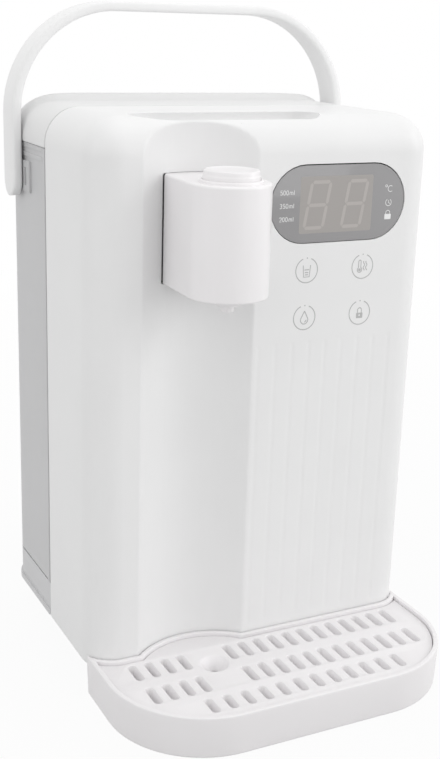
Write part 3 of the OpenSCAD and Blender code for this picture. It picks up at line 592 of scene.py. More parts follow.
def scoop_points(x, r, lip, rear, is_open, inset):
    """The part of a column across the finger scoop, or over the top beside it."""
    fillet = TOP_R - inset
    points = []
    for step in range(1 - SCOOP_STEPS, SCOOP_STEPS):
        t = step / SCOOP_STEPS
        if is_open and t > 0 and not inset:
            angle = t * SCOOP_TURN
            y = scoop_y + rear * sin(angle) / sin(SCOOP_TURN)
            points.append((x, y, TOP - r / 3 - 2 * r / 3 * cos(angle)))
        elif is_open:
            angle = t * (asin(lip / r) if t < 0 else acos(inset / r))
            points.append((x, scoop_y + r * sin(angle), TOP - r * cos(angle)))
        else:
            reach = t * (lip if t < 0 else rear)
            z = knee_z + sqrt(fillet ** 2 - reach ** 2) if t < 0 else TOP - inset
            points.append((x, scoop_y + reach, z))
    return points


def top_points(x, start, is_open, inset):
    """The part of a column from the scoop's rear edge to the seam."""
    top = TOP - inset
    soft = SCOOP_SOFT if is_open else 0
    points = [(x, start + soft, top - soft), (x, start + SEAM_EDGE, top)]
    first = start + 3
    step = (Y_SEAM - SEAM_EDGE - first) / TOP_STEPS
    points += [(x, first + step * i, top) for i in range(TOP_STEPS + 1)]
    points.append((x, Y_SEAM, top - SEAM_EDGE / 2))
    return points


def shell_column(x, inset):
    """Points of a column, up the panel and over the top to the seam."""
    fillet = TOP_R - inset
    scoop = scoop_radius(x)
    is_open = scoop > SCOOP_LEAST_R
    r = max(scoop, SCOOP_LEAST_R) + inset
    drop = (r * r - fillet * fillet + TOP_R * TOP_R) / (2 * TOP_R)
    lip = sqrt(r * r - drop * drop)
    rear = sqrt(r * r - inset * inset)
    lip_angle = asin((TOP_R - drop) / fillet)
    column = wall_points(x, inset)
    for step in range(1, FILLET_STEPS + 1):
        angle = lip_angle * step / FILLET_STEPS
        z = knee_z + fillet * sin(angle)
        column.append((x, channel_y(x, scoop_y - fillet * cos(angle), z, inset), z))
    column += scoop_points(x, r, lip, rear, is_open, inset)
    column += top_points(x, scoop_y + rear, is_open, inset)
    return under_scoop(column, x, r, inset) if inset else column


def under_scoop(column, x, r, inset):
    """Inner column, bent where the channel's back meets the scoop's."""
    back = channel_back(x, TOP - SCOOP_R, inset)
    if abs(back - scoop_y) >= r:
        return column
    meet = TOP - sqrt(r ** 2 - (back - scoop_y) ** 2)
    first = len(wall_levels)
    bent = list(column)
    for i in range(first, first + FILLET_STEPS + SCOOP_STEPS - 1):
        _, y, z = column[i]
        if y < back or z > meet:
            bent[i] = (x, max(y, back), meet)
    return bent


def shell_side(side, levels, count, inset):
    """Points of one side, level by level, from its front corner to the seam."""
    half = HALF_W - inset
    face = Y_FACE + inset
    fillet = TOP_R - inset
    rows = []
    for d, z in levels:
        share = min(d / fillet, 1)
        r = max(CORNER_LEAST_R, CORNER_R - inset + (CORNER_R_TOP - CORNER_R) * share)
        row = arc(half - d - r, face + d + r, r, -90, 0, SCOOP_STEPS)
        rest = count - SCOOP_STEPS - 2
        start = face + d + r
        row += [(half - d, start + (Y_SEAM - SEAM_EDGE - start) * i / rest) for i in range(1, rest + 1)]
        row.append((half - d - SEAM_EDGE / 2, Y_SEAM))
        rows.append([(side * x, y, z) for x, y in row])
    return rows


def shell_skin(columns, inset):
    """Points and faces of the shell's skin, and the loop round its open edge."""
    sheet = list(zip(*[shell_column(x, inset) for x in columns]))
    width = len(columns)
    turn_row = len(wall_levels) + FILLET_STEPS + SCOOP_STEPS - 1
    levels = [(p[1] - Y_FACE - inset, p[2]) for p in list(zip(*sheet))[-1][:turn_row + 1]]
    after = len(sheet) - turn_row
    points = [p for row in sheet for p in row]
    faces = [(r * width + c, r * width + c + 1, (r + 1) * width + c + 1, (r + 1) * width + c)
             for r in range(len(sheet) - 1) for c in range(width - 1)]
    loops = []
    for side, column in ((1, width - 1), (-1, 0)):
        start = len(points)
        rows = shell_side(side, levels, after, inset)
        points += [p for row in rows for p in row]
        last = start + turn_row * after
        for level in range(turn_row):
            here = start + level * after
            above = here + after
            faces.append((level * width + column, here, above, (level + 1) * width + column))
            faces += [(here + j, here + j + 1, above + j + 1, above + j) for j in range(after - 1)]
        for j in range(after - 1):
            row = (turn_row + j) * width + column
            faces.append((row, last + j, last + j + 1, row + width))
        foot = list(range(start, start + after))
        rear = [start + level * after + after - 1 for level in range(1, turn_row + 1)]
        loops.append(foot + rear)
    top_row = (len(sheet) - 1) * width
    seam = list(range(top_row + width - 1, top_row - 1, -1))
    return points, faces, list(range(width)) + loops[0] + seam + loops[1][::-1]


def lens_outline(room):
    """Outline of the lens about its middle, wider all round by a room."""
    w = lens_high.x - lens_low.x + 2 * room + LENS_LONGER
    h = lens_high.z - lens_low.z + 2 * room
    return stadium(-LENS_LONGER / 2, 0, w, h)


def boss(x, z, y0, y1, r, depth):
    """Screw boss that points to the rear, with a bore of a depth."""
    floor_y = y1 - depth
    profile = [(0, y0), (r, y0), (r, y1), (BOSS_BORE_R, y1), (BOSS_BORE_R, floor_y), (0, floor_y)]
    return placed(lathe(profile, steps=32), x, 0, z, BACKWARDS)


def screw_spots(node):
    """Middles of the four screws at the corners of a node's box."""
    low, high = box_mm(node)
    r = SCREW_HEAD_R
    return [(x, z) for x in (low.x + r, high.x - r) for z in (low.z + r, high.z - r)]


def front_shell():
    """Shell with a hole for the lens and a window behind the spout head."""
    columns = shell_columns()
    outer, faces, edge = shell_skin(columns, 0)
    inner = shell_skin(columns, WALL)[0]
    count = len(outer)
    faces += [tuple(count + i for i in reversed(face)) for face in faces]
    faces += [(a, b, b + count, a + count) for a, b in zip(edge, edge[1:] + edge[:1])]
    skin = (outer + inner, faces)
    obj = piece("front_shell_skin", skin, WHITE, "housing", "front_shell")
    hole = plate([lens_outline(LENS_GAP)], -WALL * 2, WALL, 0)
    cut(obj, placed(hole, lens_mid.x, Y_FACE, lens_mid.z, FACING))
    half = head_r - HEAD_TAPER + HEAD_ROOM
    window = rounded_rect(-half, head_low.z - HEAD_ROOM, half, head_high.z + HEAD_ROOM_TOP, 1)
    cut(obj, placed(plate([window], -CHANNEL_DEPTH - WALL * 2, 0, 0), spout_x, Y_FACE, 0, FACING))
    smooth(obj.data, SHARP_ANGLE)
    obj.modifiers.new("normals", "WEIGHTED_NORMAL").keep_sharp = True


def shell_bosses():
    """Bosses for the board's and the chassis's screws."""
    board_y = box_mm("control_board")[0].y
    chassis_y = box_mm("heater_clamps")[1].y
    bosses = []
    for x, z in screw_spots("board_screws"):
        bosses.append(boss(x, z, Y_FACE + WALL - 0.4, board_y, r=4, depth=6))
    for x, z in screw_spots("chassis_screws"):
        bosses.append(boss(x, z, chassis_y - CHASSIS_BOSS_L, chassis_y, r=4.5, depth=12))
    piece("shell_bosses", joined(*bosses), WHITE, "housing", edge=0.3)


# Spout
SPOUT_WALL = 2
SPOUT_GAP = 0.2
NECK_R = 10
NECK_BORE_R = 7.5
HEAD_EDGE = 1.4
HEAD_SIDE_STEPS = 8
HEAD_ROOM = 0.25
HEAD_ROOM_TOP = 0.1
HEAD_TAPER = 1.1
HEAD_BACK_EDGE = 0.3
head_low, head_high = box_mm("spout_head")
spout_x = (head_low.x + head_high.x) / 2
head_r = (head_high.x - head_low.x) / 2
head_y = head_low.y + head_r
bezel_low, bezel_high = box_mm("button_bezel")
button_x = (bezel_low.x + bezel_high.x) / 2
button_y = (bezel_low.y + bezel_high.y) / 2
bezel_r = (bezel_high.x - bezel_low.x) / 2
BEZEL_W = 1.25
BUTTON_GAP = 0.22
BUTTON_DISH = 0.4
COLLAR_T = 2.4
STEM_R = 3.5
NOZZLE_TIP = 3
button_hole_r = bezel_r - BEZEL_W


def head_side(x, back):
    """Points along a side of the head, from its front to a softened rear corner."""
    rear = channel_axis_y + sqrt(back ** 2 - (x - CHANNEL_X) ** 2)
    inwards = copysign(1, spout_x - x)
    length = rear - 0.6 - head_y
    shares = spaced(0, 1, 1 / HEAD_SIDE_STEPS)[1:]
    line = [(x + inwards * HEAD_TAPER * share, head_y + length * share) for share in shares]
    return line + [(x + inwards * (HEAD_TAPER + 0.15), rear - 0.1)]


def head_outline(inset, z):
    """Ring round the spout head: round front, straight sides, back along the channel."""
    s = head_r - inset
    reach = s - HEAD_TAPER
    back = channel_r - SPOUT_GAP - max(0, inset - HEAD_EDGE + HEAD_BACK_EDGE)
    offsets = (spout_x + reach - CHANNEL_X, spout_x - reach - CHANNEL_X)
    start, end = [degrees(acos(offset / back)) for offset in offsets]
    front = arc(spout_x, head_y, s, 180, 360, 36)
    right = head_side(spout_x + s, back)
    rear = arc(CHANNEL_X, channel_axis_y, back, start + 1, end - 1, 18)
    left = head_side(spout_x - s, back)[::-1]
    return [(x, y, z) for x, y in front + right + rear + left]


def hole_ring(ring, x, y, r, z):
    """Circle whose points lie towards the points of a ring round it."""
    angles = [atan2(p[1] - y, p[0] - x) for p in ring]
    return [(x + r * cos(a), y + r * sin(a), z) for a in angles]


def spout_head():
    """Hollow head with a hole for the button and a neck."""
    low = head_low.z
    high = head_high.z
    under = high - SPOUT_WALL
    skin = [(SPOUT_WALL, low, 0), (0, low, 1.2), (0, high, HEAD_EDGE), (4, high, 0)]
    rings = [head_outline(inset, z) for inset, z in soften(skin, steps=6)[:-1]]
    hole_r = button_hole_r
    for r, z in soften([(hole_r + 3, high, 0), (hole_r, high, 0.5), (hole_r, under, 0)])[1:]:
        rings.append(hole_ring(rings[0], button_x, button_y, r, z))
    rings.append(head_outline(SPOUT_WALL, under))
    nut_low, nut_high = box_mm("spout_nut")
    back = channel_axis_y + channel_r - SPOUT_GAP - SPOUT_WALL
    neck = [(NECK_BORE_R, back), (NECK_R, back), (NECK_R, head_high.y), (NECK_BORE_R, head_high.y)]
    tube = placed(lathe(neck, wrap=True), spout_x, 0, (nut_low.z + nut_high.z) / 2, BACKWARDS)
    head = joined(loft(rings, wrap=True), tube)
    piece("spout_head_skin", head, HEAD_WHITE, "housing", "spout_head")


def button():
    """Dished button with a collar and a stem, and the ring round it."""
    low, high = box_mm("tap_button")
    r = button_hole_r - BUTTON_GAP
    collar = (high.x - low.x) / 2
    foot = box_mm("button_spring")[1].z
    top = high.z
    dish = top - BUTTON_DISH
    shoulder = foot + COLLAR_T
    corners = [(0, dish, 0), (r - 2.8, dish, 0.8), (r - 2, top, 0.4), (r - 0.5, top, 0.9),
               (r - 0.3, top - 2.1, 0.3), (r, top - 2.6, 0.3), (r, shoulder, 0.2),
               (collar, shoulder, 0.4), (collar, foot, 0.4),
               (STEM_R, foot, 0.4), (STEM_R, low.z, 0.4), (0, low.z, 0)]
    cap = placed(lathe(soften(corners), steps=96), button_x, button_y)
    piece("tap_button_cap", cap, HEAD_WHITE, "button", "tap_button")
    bore = button_hole_r
    corners = [(bore, bezel_low.z, 0), (bezel_r, bezel_low.z, 0),
               (bezel_r, bezel_high.z, 0.9), (bore, bezel_high.z, 0.3)]
    ring = placed(lathe(soften(corners, True), wrap=True, steps=96), button_x, button_y)
    piece("button_bezel_ring", ring, HEAD_WHITE, "housing", "button_bezel")


def nozzle():
    """Nozzle with a narrow tip, a flange and a barb above it."""
    low, high = box_mm("spout_nozzle")
    tip = low.z - NOZZLE_TIP
    step = low.z + 1
    seat = box_mm("spout_base")[1].z
    flange = seat + 2
    corners = [(2, tip, 0.3), (2.9, tip, 0.3), (3.1, low.z, 0.3), (5.5, low.z, 0.4), (6, step, 0.4),
               (7, step, 0.2), (8, low.z + 1.6, 0.5), (8, seat, 0), (9.5, seat, 0.3),
               (9.5, flange, 0.3), (5, flange, 0.3), (5, high.z, 0.3), (3.05, high.z, 0.3),
               (3.05, seat, 0), (2, seat, 0)]
    turned = placed(lathe(soften(corners, True), wrap=True), button_x, button_y)
    piece("spout_nozzle_tip", turned, HEAD_WHITE, "housing", "spout_nozzle")


# Tank, lid and handle
tank_low, tank_high = box_mm("water_tank")
lid_low, lid_high = box_mm("tank_lid")
Y_REAR = lid_high.y
REAR_R = 20
FRONT_R = 0.5
SIDE_PARTS = 11.5
TANK_RIM_GAP = 0.7
TANK_RIM_W = 2.5
TANK_RIM_RISE = 0.8
TANK_RIM_SLOPE = 0.6
TANK_INSET = 1
TANK_FLOOR = 3
BAND = 0.4
PAD_R = 7.5
PAD_T = 7
DOCK_HOLE_R = 12.3
dock_y = (tank_low.y + Y_REAR) / 2


def rear_outline(inset, front_inset, z, r=None, rim=0):
    """Ring round the rear of the body, with a rim at the front of its sides."""
    half = HALF_W - inset
    front = tank_low.y + SEAM_TRIM + front_inset
    rear = Y_REAR - inset
    r = REAR_R - inset if r is None else r
    right = arc(half + rim - FRONT_R, front + FRONT_R, FRONT_R, -90, 0, 4)
    side = front + TANK_RIM_W
    if rim:
        right.append((half + rim, side))
        side += TANK_RIM_SLOPE
        right.append((half, side))
    right += [(half, y) for y in spaced(side, rear - r, (rear - r - side) / SIDE_PARTS)[1:-1]]
    right += arc(half - r, rear - r, r, 0, 90, 12)
    left = [(-x, y) for x, y in reversed(right)]
    return [(x, y, z) for x, y in right + left]


def water_tank():
    """Jar with bands below its mouth, a hole over the dock and a pad at each stud."""
    low = tank_low.z
    high = tank_high.z
    floor_top = low + TANK_FLOOR
    corners = [(4, low, 0), (0, low, 1.2),
               (0, high - 7, 0.2), (-BAND, high - 7, 0.2), (-BAND, high - 4.8, 0.2), (0, high - 4.8, 0.2),
               (0, high - 2.2, 0.2), (-BAND, high - 2.2, 0.2), (-BAND, high, 0.3),
               (WALL, high, 0.3), (WALL, floor_top, 3), (8, floor_top, 0)]
    rings = []
    for inset, z in soften(corners):
        rim = TANK_RIM_RISE + min(inset, 0)
        rings.append(rear_outline(TANK_INSET + inset, max(inset, 0) + TANK_RIM_GAP, z, rim=rim))
    rings += [hole_ring(rings[0], 0, dock_y, DOCK_HOLE_R, z) for z in (floor_top, low)]
    parts = [loft(rings, wrap=True)]
    stud_low, stud_high = box_mm("handle_studs")
    pivot_y = (stud_low.y + stud_high.y) / 2
    pivot_z = (stud_low.z + stud_high.z) / 2
    reach = HALF_W - TANK_INSET - WALL
    corners = [(0, -PAD_T, 0), (PAD_R, -PAD_T, 0.8), (PAD_R, 0.5, 0), (0, 0.5, 0)]
    pad = lathe(soften(corners), steps=48)
    for side in (1, -1):
        parts.append(placed(pad, side * reach, pivot_y, pivot_z, rotation(90 * side, "Y")))
    piece("water_tank_jar", joined(*parts), SMOKE, "tank", "water_tank")


LIP_START = 32.5
LIP_END = 27
LID_KNEE = 272
LID_CORNER_TOP = 22
LID_EASE = 0.4
LID_GAP = 0.3
LID_HOLLOW_Z = 283
PLUG_GAP = 2
PLUG_T = 2


def lid_ring(angle):
    """Ring of the lid where its rounded edge has turned by an angle."""
    d = TOP_R * (1 - cos(angle))
    r = REAR_R + (LID_CORNER_TOP - REAR_R) * d / TOP_R
    ring = rear_outline(d, LID_EASE * (1 - cos(angle)), 0, r)
    lip = lid_high.z - TOP
    rise = [lip * smooth_step((y - Y_REAR + LIP_START) / (LIP_START - LIP_END)) for _, y, _ in ring]
    return [(x, y, LID_KNEE + (TOP_R + up) * sin(angle)) for (x, y, _), up in zip(ring, rise)]


def tank_lid():
    """Cover with a rounded edge and a plug in the tank's mouth."""
    skirt = tank_high.z + LID_GAP
    plug = TANK_INSET + WALL + PLUG_GAP
    hollow = plug + PLUG_T
    under = [(hollow, LID_HOLLOW_Z, 0), (hollow, lid_low.z, 0.6), (plug, lid_low.z, 0.6),
             (plug, skirt, 0.3), (0, skirt, 0.5), (0, LID_KNEE, 0)]
    rings = [rear_outline(inset, min(inset, plug - TANK_INSET), z) for inset, z in soften(under)]
    rings += [lid_ring(radians(a)) for a in spaced(0, 90, 6)[1:]]
    points, faces = loft(rings, caps=False)
    n = len(rings[0])
    for start in (0, len(points) - n):
        end = start + n - 1
        faces += [(start + i, start + i + 1, end - 1 - i, end - i) for i in range(n // 2 - 1)]
    piece("tank_lid_cover", (points, faces), LID_SHADED_WHITE, "lid", "tank_lid", sharp=50)


handle_low, handle_high = box_mm("handle")
HANDLE_T = 5
ARCH_R = 57
HANDLE_EDGE = 1.9


def handle_ring(x, z, angle, half, y):
    """Section of the handle at a place, where outwards has turned by an angle."""
    t = HANDLE_T / 2
    cut_by = min(HANDLE_EDGE, half * 0.7)
    ring = []
    for out, across in rounded_rect(-t, -half, t, half, cut_by):
        ring.append((x + out * cos(angle), y + across, z + out * sin(angle)))
    return ring


def handle():
    """Flat bail with round feet and an arch over the lid."""
    y = (handle_low.y + handle_high.y) / 2
    half = (handle_high.y - handle_low.y) / 2
    pivot_z = handle_low.z + half
    x = handle_high.x - HANDLE_T / 2
    top = handle_high.z - HANDLE_T / 2
    arch_x = handle_high.x - ARCH_R
    arch_z = handle_high.z - ARCH_R
    right = []
    for turn in spaced(radians(8), pi / 2, radians(8)):
        right.append((x, pivot_z - half * cos(turn), 0, half * sin(turn)))
    right += [(x, z, 0, half) for z in spaced(pivot_z, arch_z, 8)[1:]]
    r = ARCH_R - HANDLE_T / 2
    for turn in spaced(0, pi / 2, radians(4))[1:]:
        right.append((arch_x + r * cos(turn), arch_z + r * sin(turn), turn, half))
    right += [(arch_x * (1 - s), top, pi / 2, half) for s in spaced(0, 1, 0.25)[1:]]
    left = [(-px, pz, pi - turn, size) for px, pz, turn, size in reversed(right[:-1])]
    rings = [handle_ring(px, pz, turn, size, y) for px, pz, turn, size in right + left]
    piece("carry_handle", loft(rings), HANDLE_WHITE, "handle", "handle")


# Drip tray and grille
tray_low, tray_high = box_mm("drip_tray")
grille_low, grille_high = box_mm("drip_grille")
TRAY_HALF = tray_high.x - 0.3
TRAY_CORNER_R = 50
TRAY_GAP = 0.5
TRAY_WRAP = 8.8
RIM_W = 2.5
LEDGE_W = 2
GRILLE_GAP = 0.4
GRILLE_T = 2.2
TRAY_DRAFT = 0.6
HOOK_X = 40
HOOK_HALF = 11
HOOK_LOW = 8.5
HOOK_HIGH = 11.5
SLOT_W = 4.4
SLOT_TAPER = 1.6
# Rows of slots: X of the first, count, pitch, distance from the panel, length
SLOT_ROWS = (
    (74.7, 12, -8.8, 13.2, 15), (-74.7, 4, 8.8, 13.2, 15),
    (74.7, 12, -8.8, 35.6, 15), (-74.7, 4, 8.8, 35.6, 15),
    (-52.62, 12, 9.64, 54.7, 12.5),
)
FINGER_X = -34.8
FINGER_ROW = 20.4
FINGER_R = 7.5
FINGER_TAPER = 2.75
slot_levels = [(-0.35, grille_high.z), (-0.1, grille_high.z - 0.1), (0, grille_high.z - 0.35),
               (SLOT_TAPER, grille_low.z)]


def tray_outline(inset):
    """Outline of the tray, with a bay for the body and a tongue in its channel."""
    half = TRAY_HALF - inset
    front = tray_low.y + inset
    r = TRAY_CORNER_R - inset
    gap = TRAY_GAP + inset
    bay_r = CORNER_R + gap
    bay_x = HALF_W - CORNER_R
    bay_y = Y_FACE + CORNER_R
    tip = Y_FACE + TRAY_WRAP
    reach = half - bay_x
    if reach < bay_r:
        tip = min(tip, bay_y - sqrt(bay_r ** 2 - reach ** 2))
    start = degrees(asin((tip - bay_y) / bay_r))
    tongue = channel_r - gap
    turn = degrees(asin((Y_FACE - gap - channel_axis_y) / tongue))
    right = arc(half - r, front + r, r, -90, 0, 20) + [(half, tip)]
    right += arc(bay_x, bay_y, bay_r, start, -90, 10)
    left = [(-x, y) for x, y in reversed(right)]
    return right + arc(CHANNEL_X, channel_axis_y, tongue, turn, 180 - turn, 28) + left


def drip_tray():
    """Pan with a ledge for the grille and two hooks under the body."""
    high = tray_high.z
    ledge = grille_high.z - GRILLE_T - 0.3
    deep = RIM_W + LEDGE_W
    corners = [(TRAY_DRAFT + 3, 0, 0), (TRAY_DRAFT, 0, 1.4), (0, high - 4, 1), (0, high, 0.8),
               (RIM_W, high, 0.5), (RIM_W, ledge, 0.2), (deep, ledge, 0.3),
               (deep, WALL, 1.5), (deep + 3, WALL, 0)]
    parts = [loft([[(x, y, z) for x, y in tray_outline(inset)] for inset, z in soften(corners)])]
    start = Y_FACE - TRAY_GAP - RIM_W / 2
    for x in (-HOOK_X, HOOK_X):
        hook = rounded_rect(x - HOOK_HALF, start, x + HOOK_HALF, tray_high.y, 2)
        parts.append(plate([hook], HOOK_LOW, HOOK_HIGH, 0.4))
    piece("drip_tray_pan", joined(*parts), TRAY_WHITE, "tray", "drip_tray", sharp=45)


def slot_rings(x, y, length):
    """Outline of a slot at each height, narrower downwards."""
    return [(stadium(x, y, SLOT_W - 2 * d, length - 2 * d), z) for d, z in slot_levels]


def drip_grille():
    """Plate with slots and a finger hole that narrow downwards."""
    top = grille_high.z
    middle = top - GRILLE_T
    bottom = grille_low.z
    rim = RIM_W + GRILLE_GAP
    edge = [(0.35, top), (0.1, top - 0.1), (0, top - 0.35), (0, middle), (1.2, middle), (1.2, bottom)]
    walls = [[(tray_outline(rim + inset), z) for inset, z in edge]]
    for x, count, pitch, row, length in SLOT_ROWS:
        walls += [slot_rings(x + i * pitch, Y_FACE - row, length) for i in range(count)]
    finger_y = Y_FACE - FINGER_ROW
    walls.append([(circle(FINGER_X, finger_y, FINGER_R - FINGER_TAPER * d), z) for d, z in slot_levels])
    sides = [loft([[(x, y, z) for x, y in loop] for loop, z in wall], caps=False) for wall in walls]
    faces = [flat([wall[end][0] for wall in walls], walls[0][end][1]) for end in (0, -1)]
    whole = joined(*sides, *faces)
    piece("drip_grille_plate", whole, TRAY_WHITE, "grille", "drip_grille", sharp=50)


# Display and touch keys
LENS_SHIFT = 0.14
MARK_RISE = 0.05
MARK_SINK = 0.1
MARK_W = 0.3
pad_low, pad_high = box_mm("touch_pads")
KEY_SHIFT = -0.7
KEY_PAD_R = 6
KEY_RING_R = 6.2
KEY_DOT_R = 0.35
INK_W = 0.55
FIELD = (14.3, 233.6, 55.8, 261.4)
FIELD_RISE = 0.02
LOCK_BODY = (63.8, 238.6, 67.6, 241.3)
SLANT = 0.17
DIGIT_W = 12.2
DIGIT_H = 24
DIGIT_XS = (16, 37.4)
DIGIT_Z = 235.4
SEGMENT_W = 1.7
SEGMENT_GAP = 0.25
AMOUNTS = ("500", "350", "200")
AMOUNT_X = 3.1
AMOUNT_Z = 252.9
AMOUNT_SIZE = 2.1
AMOUNT_PITCH = 6.45
NUMERAL_PITCH = 0.8
UNIT_X = 8.4


def on_panel(shape, x, z, y=Y_FACE):
    """The flat shape stood upright against the panel."""
    return placed(shape, x, y, z, FACING)


def printed(loops):
    """Flat marks that stand just above a surface."""
    return plate(loops, -MARK_SINK, MARK_RISE, 0)


def numeral(digit):
    """Lines of a numeral, 0.6 wide and 1 high."""
    if digit == "0":
        return [[(0.3 + 0.28 * x, 0.5 + 0.5 * y) for x, y in arc(0, 0, 1, 90, 450, 20)]]
    if digit == "2":
        return [arc(0.3, 0.72, 0.27, 160, -40, 10) + [(0.03, 0), (0.58, 0)]]
    if digit == "3":
        return [arc(0.28, 0.75, 0.25, 150, -90, 10) + arc(0.28, 0.25, 0.26, 90, -150, 10)]
    return [[(0.54, 1), (0.12, 1), (0.07, 0.56)] + arc(0.29, 0.32, 0.29, 120, -150, 12)]


def millilitre():
    """Lines of the unit that follows an amount, 1 high."""
    stems = [[(0, 0), (0, 0.6)], [(0.8, 0), (0.8, 0.6)], [(1.15, 0), (1.15, 1)]]
    arches = [[(0, 0.45)] + arc(0.2, 0.45, 0.2, 150, 0, 6) + [(0.4, 0)], arc(0.6, 0.45, 0.2, 180, 0, 6)]
    return stems + arches


def amount_lines():
    """Lines of the column of amounts with their units."""
    size = AMOUNT_SIZE
    lines = []
    for row, digits in enumerate(AMOUNTS):
        marks = [(AMOUNT_X + i * NUMERAL_PITCH * size, numeral(digit)) for i, digit in enumerate(digits)]
        marks.append((UNIT_X, millilitre()))
        z = AMOUNT_Z - AMOUNT_PITCH * row
        for x, mark in marks:
            lines += [[(x + px * size, z + pz * size) for px, pz in line] for line in mark]
    return lines


def symbol_lines():
    """Lines of the degree unit, the clock and the lock's shackle."""
    degree = [arc(63.9, 255.4, 0.55, 0, 360, 12), arc(66.4, 254, 1.5, 50, 310, 12)]
    clock = [arc(65.7, 247.1, 1.7, 120, 420, 16), [(65.7, 248.3), (65.7, 247), (66.6, 246.5)]]
    shackle = [(64.5, 241.3)] + arc(65.7, 241.9, 1.2, 180, 0, 10) + [(66.9, 241.3)]
    return degree + clock + [shackle]


def pointed_bar(start, end, level):
    """Outline of a bar along a level, with pointed ends."""
    t = SEGMENT_W / 2
    upper = [(start, level), (start + t, level + t), (end - t, level + t)]
    lower = [(end, level), (end - t, level - t), (start + t, level - t)]
    return upper + lower


def segment_loops(x, z):
    """Outlines of a seven-segment figure with its lower left corner at a place."""
    side = SEGMENT_W / 2
    gap = SEGMENT_GAP
    levels = (side, DIGIT_H / 2, DIGIT_H - side)
    bars = [pointed_bar(side + gap, DIGIT_W - side - gap, level) for level in levels]
    for column in (side, DIGIT_W - side):
        for low, high in zip(levels, levels[1:]):
            bars.append([(px, py) for py, px in pointed_bar(low + gap, high - gap, column)])
    return [[(x + px + SLANT * py, z + py) for px, py in bar] for bar in bars]


def display():
    """Lens with its digits, amounts and symbols."""
    front = lens_low.y
    glass = plate([lens_outline(-LENS_GAP)], front - lens_high.y, 0, 0.3)
    glass = on_panel(glass, lens_mid.x + LENS_SHIFT, lens_mid.z - LENS_SHIFT, front)
    piece("display_lens_glass", glass, LENS, "housing", "display_lens")
    field = plate([rounded_rect(*FIELD, 1.2)], -MARK_SINK, FIELD_RISE, 0)
    digits = printed([loop for x in DIGIT_XS for loop in segment_loops(x, DIGIT_Z)])
    ink = strokes(amount_lines() + symbol_lines(), MARK_W, MARK_RISE)
    marks = joined(ink, printed([rounded_rect(*LOCK_BODY, 0.4)]))
    prints = {"digit_field_print": (field, DIGIT_FIELD), "digit_segments": (digits, DIGIT),
              "display_marks": (marks, WHITE_INK)}
    for name, (shape, look) in prints.items():
        piece(name, on_panel(shape, 0, 0, front), look, "housing")


# Symbols of the touch keys, each as its drawn lines and its solid outlines
def cup_icon():
    glass = [(-2.1, 2.6), (-1.6, -3.3), (1.6, -3.3), (2.1, 2.6)]
    levels = [[(-half, z), (half, z)] for half, z in ((0.9, -2.2), (1, -1.1), (1.3, 0.3))]
    return [glass] + levels, []


def heat_icon():
    tube = [(-2.3, -0.6)] + [(-2.3, 2.6)] + arc(-1.6, 2.6, 0.7, 180, 0, 6) + [(-0.9, -0.6)]
    bulb = arc(-1.6, -1.7, 1.3, 58, -238, 14)
    waves = [[(x + 0.35 * sin(z * 2.2), z) for z in spaced(-2.2, 2.6, 0.4)] for x in (0.9, 2.3)]
    return [tube, bulb] + waves, [circle(-1.6, -1.7, 0.75, 16)]


def drop_icon():
    outline = [(0, 3.4)] + arc(0, -1.2, 2.1, 25, -205, 18) + [(0, 3.4)]
    glint = arc(0, -1.2, 1.1, -80, 0, 6)
    return [outline, glint], []


def lock_icon():
    shackle = [(-1.15, -0.2), (-1.15, 1.3)] + arc(0, 1.3, 1.15, 180, 0, 10) + [(1.15, -0.2)]
    body = rounded_rect(-1.9, -2.9, 1.9, -0.1, 0.4)
    return [shackle], [body, circle(0, -1.4, 0.5, 14)]


def touch_keys():
    """Printed ring, dot and symbol of each key."""
    xs = (pad_low.x + KEY_PAD_R + KEY_SHIFT, pad_high.x - KEY_PAD_R + KEY_SHIFT)
    zs = (pad_high.z - KEY_PAD_R, pad_low.z + KEY_PAD_R)
    ring = arc(0, 0, KEY_RING_R, 112, 428, 40)
    dot = circle(0, KEY_RING_R, KEY_DOT_R, 12)
    places = [(x, z) for z in zs for x in xs]
    for icon, (x, z) in zip((cup_icon, heat_icon, drop_icon, lock_icon), places):
        lines, solids = icon()
        shape = joined(strokes([ring] + lines, INK_W, MARK_RISE), printed(solids + [dot]))
        piece("key_" + icon.__name__, on_panel(shape, x, z), GREY_INK, "housing")


# Springs wound from wire
COIL_STEPS = 20
COIL_END = 0.08


def coil(x, y, low, high, r, wire, turns):
    """Wire spring about an upright axis, with its end turns lying flat."""
    count = turns * COIL_STEPS
    across = circle(r, 0, wire, 8)
    rings = []
    for i in range(count + 1):
        angle = 2 * pi * i / COIL_STEPS
        share = smooth_step((i / count - COIL_END) / (1 - 2 * COIL_END))
        z = low + wire + (high - low - 2 * wire) * share
        rings.append([(x + s * cos(angle), y + s * sin(angle), z + up) for s, up in across])
    return loft(rings)


def spring(node, x, y, body, joint, end, **wire):
    """Coil in a node's place; joint and end (the lower or upper end, 0 or 1) are not used."""
    ends = [corner.z for corner in box_mm(node)]
    obj = piece(node + "_wire", coil(x, y, *ends, **wire), STEEL, body, node)
    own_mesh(obj)


def springs():
    spring("button_spring", button_x, button_y, "housing", "button_press", 0, r=9.1, wire=0.8, turns=7)
    spring("valve_spring", 0, dock_y, "tank", "valve_open", 1, r=4.3, wire=0.55, turns=5)


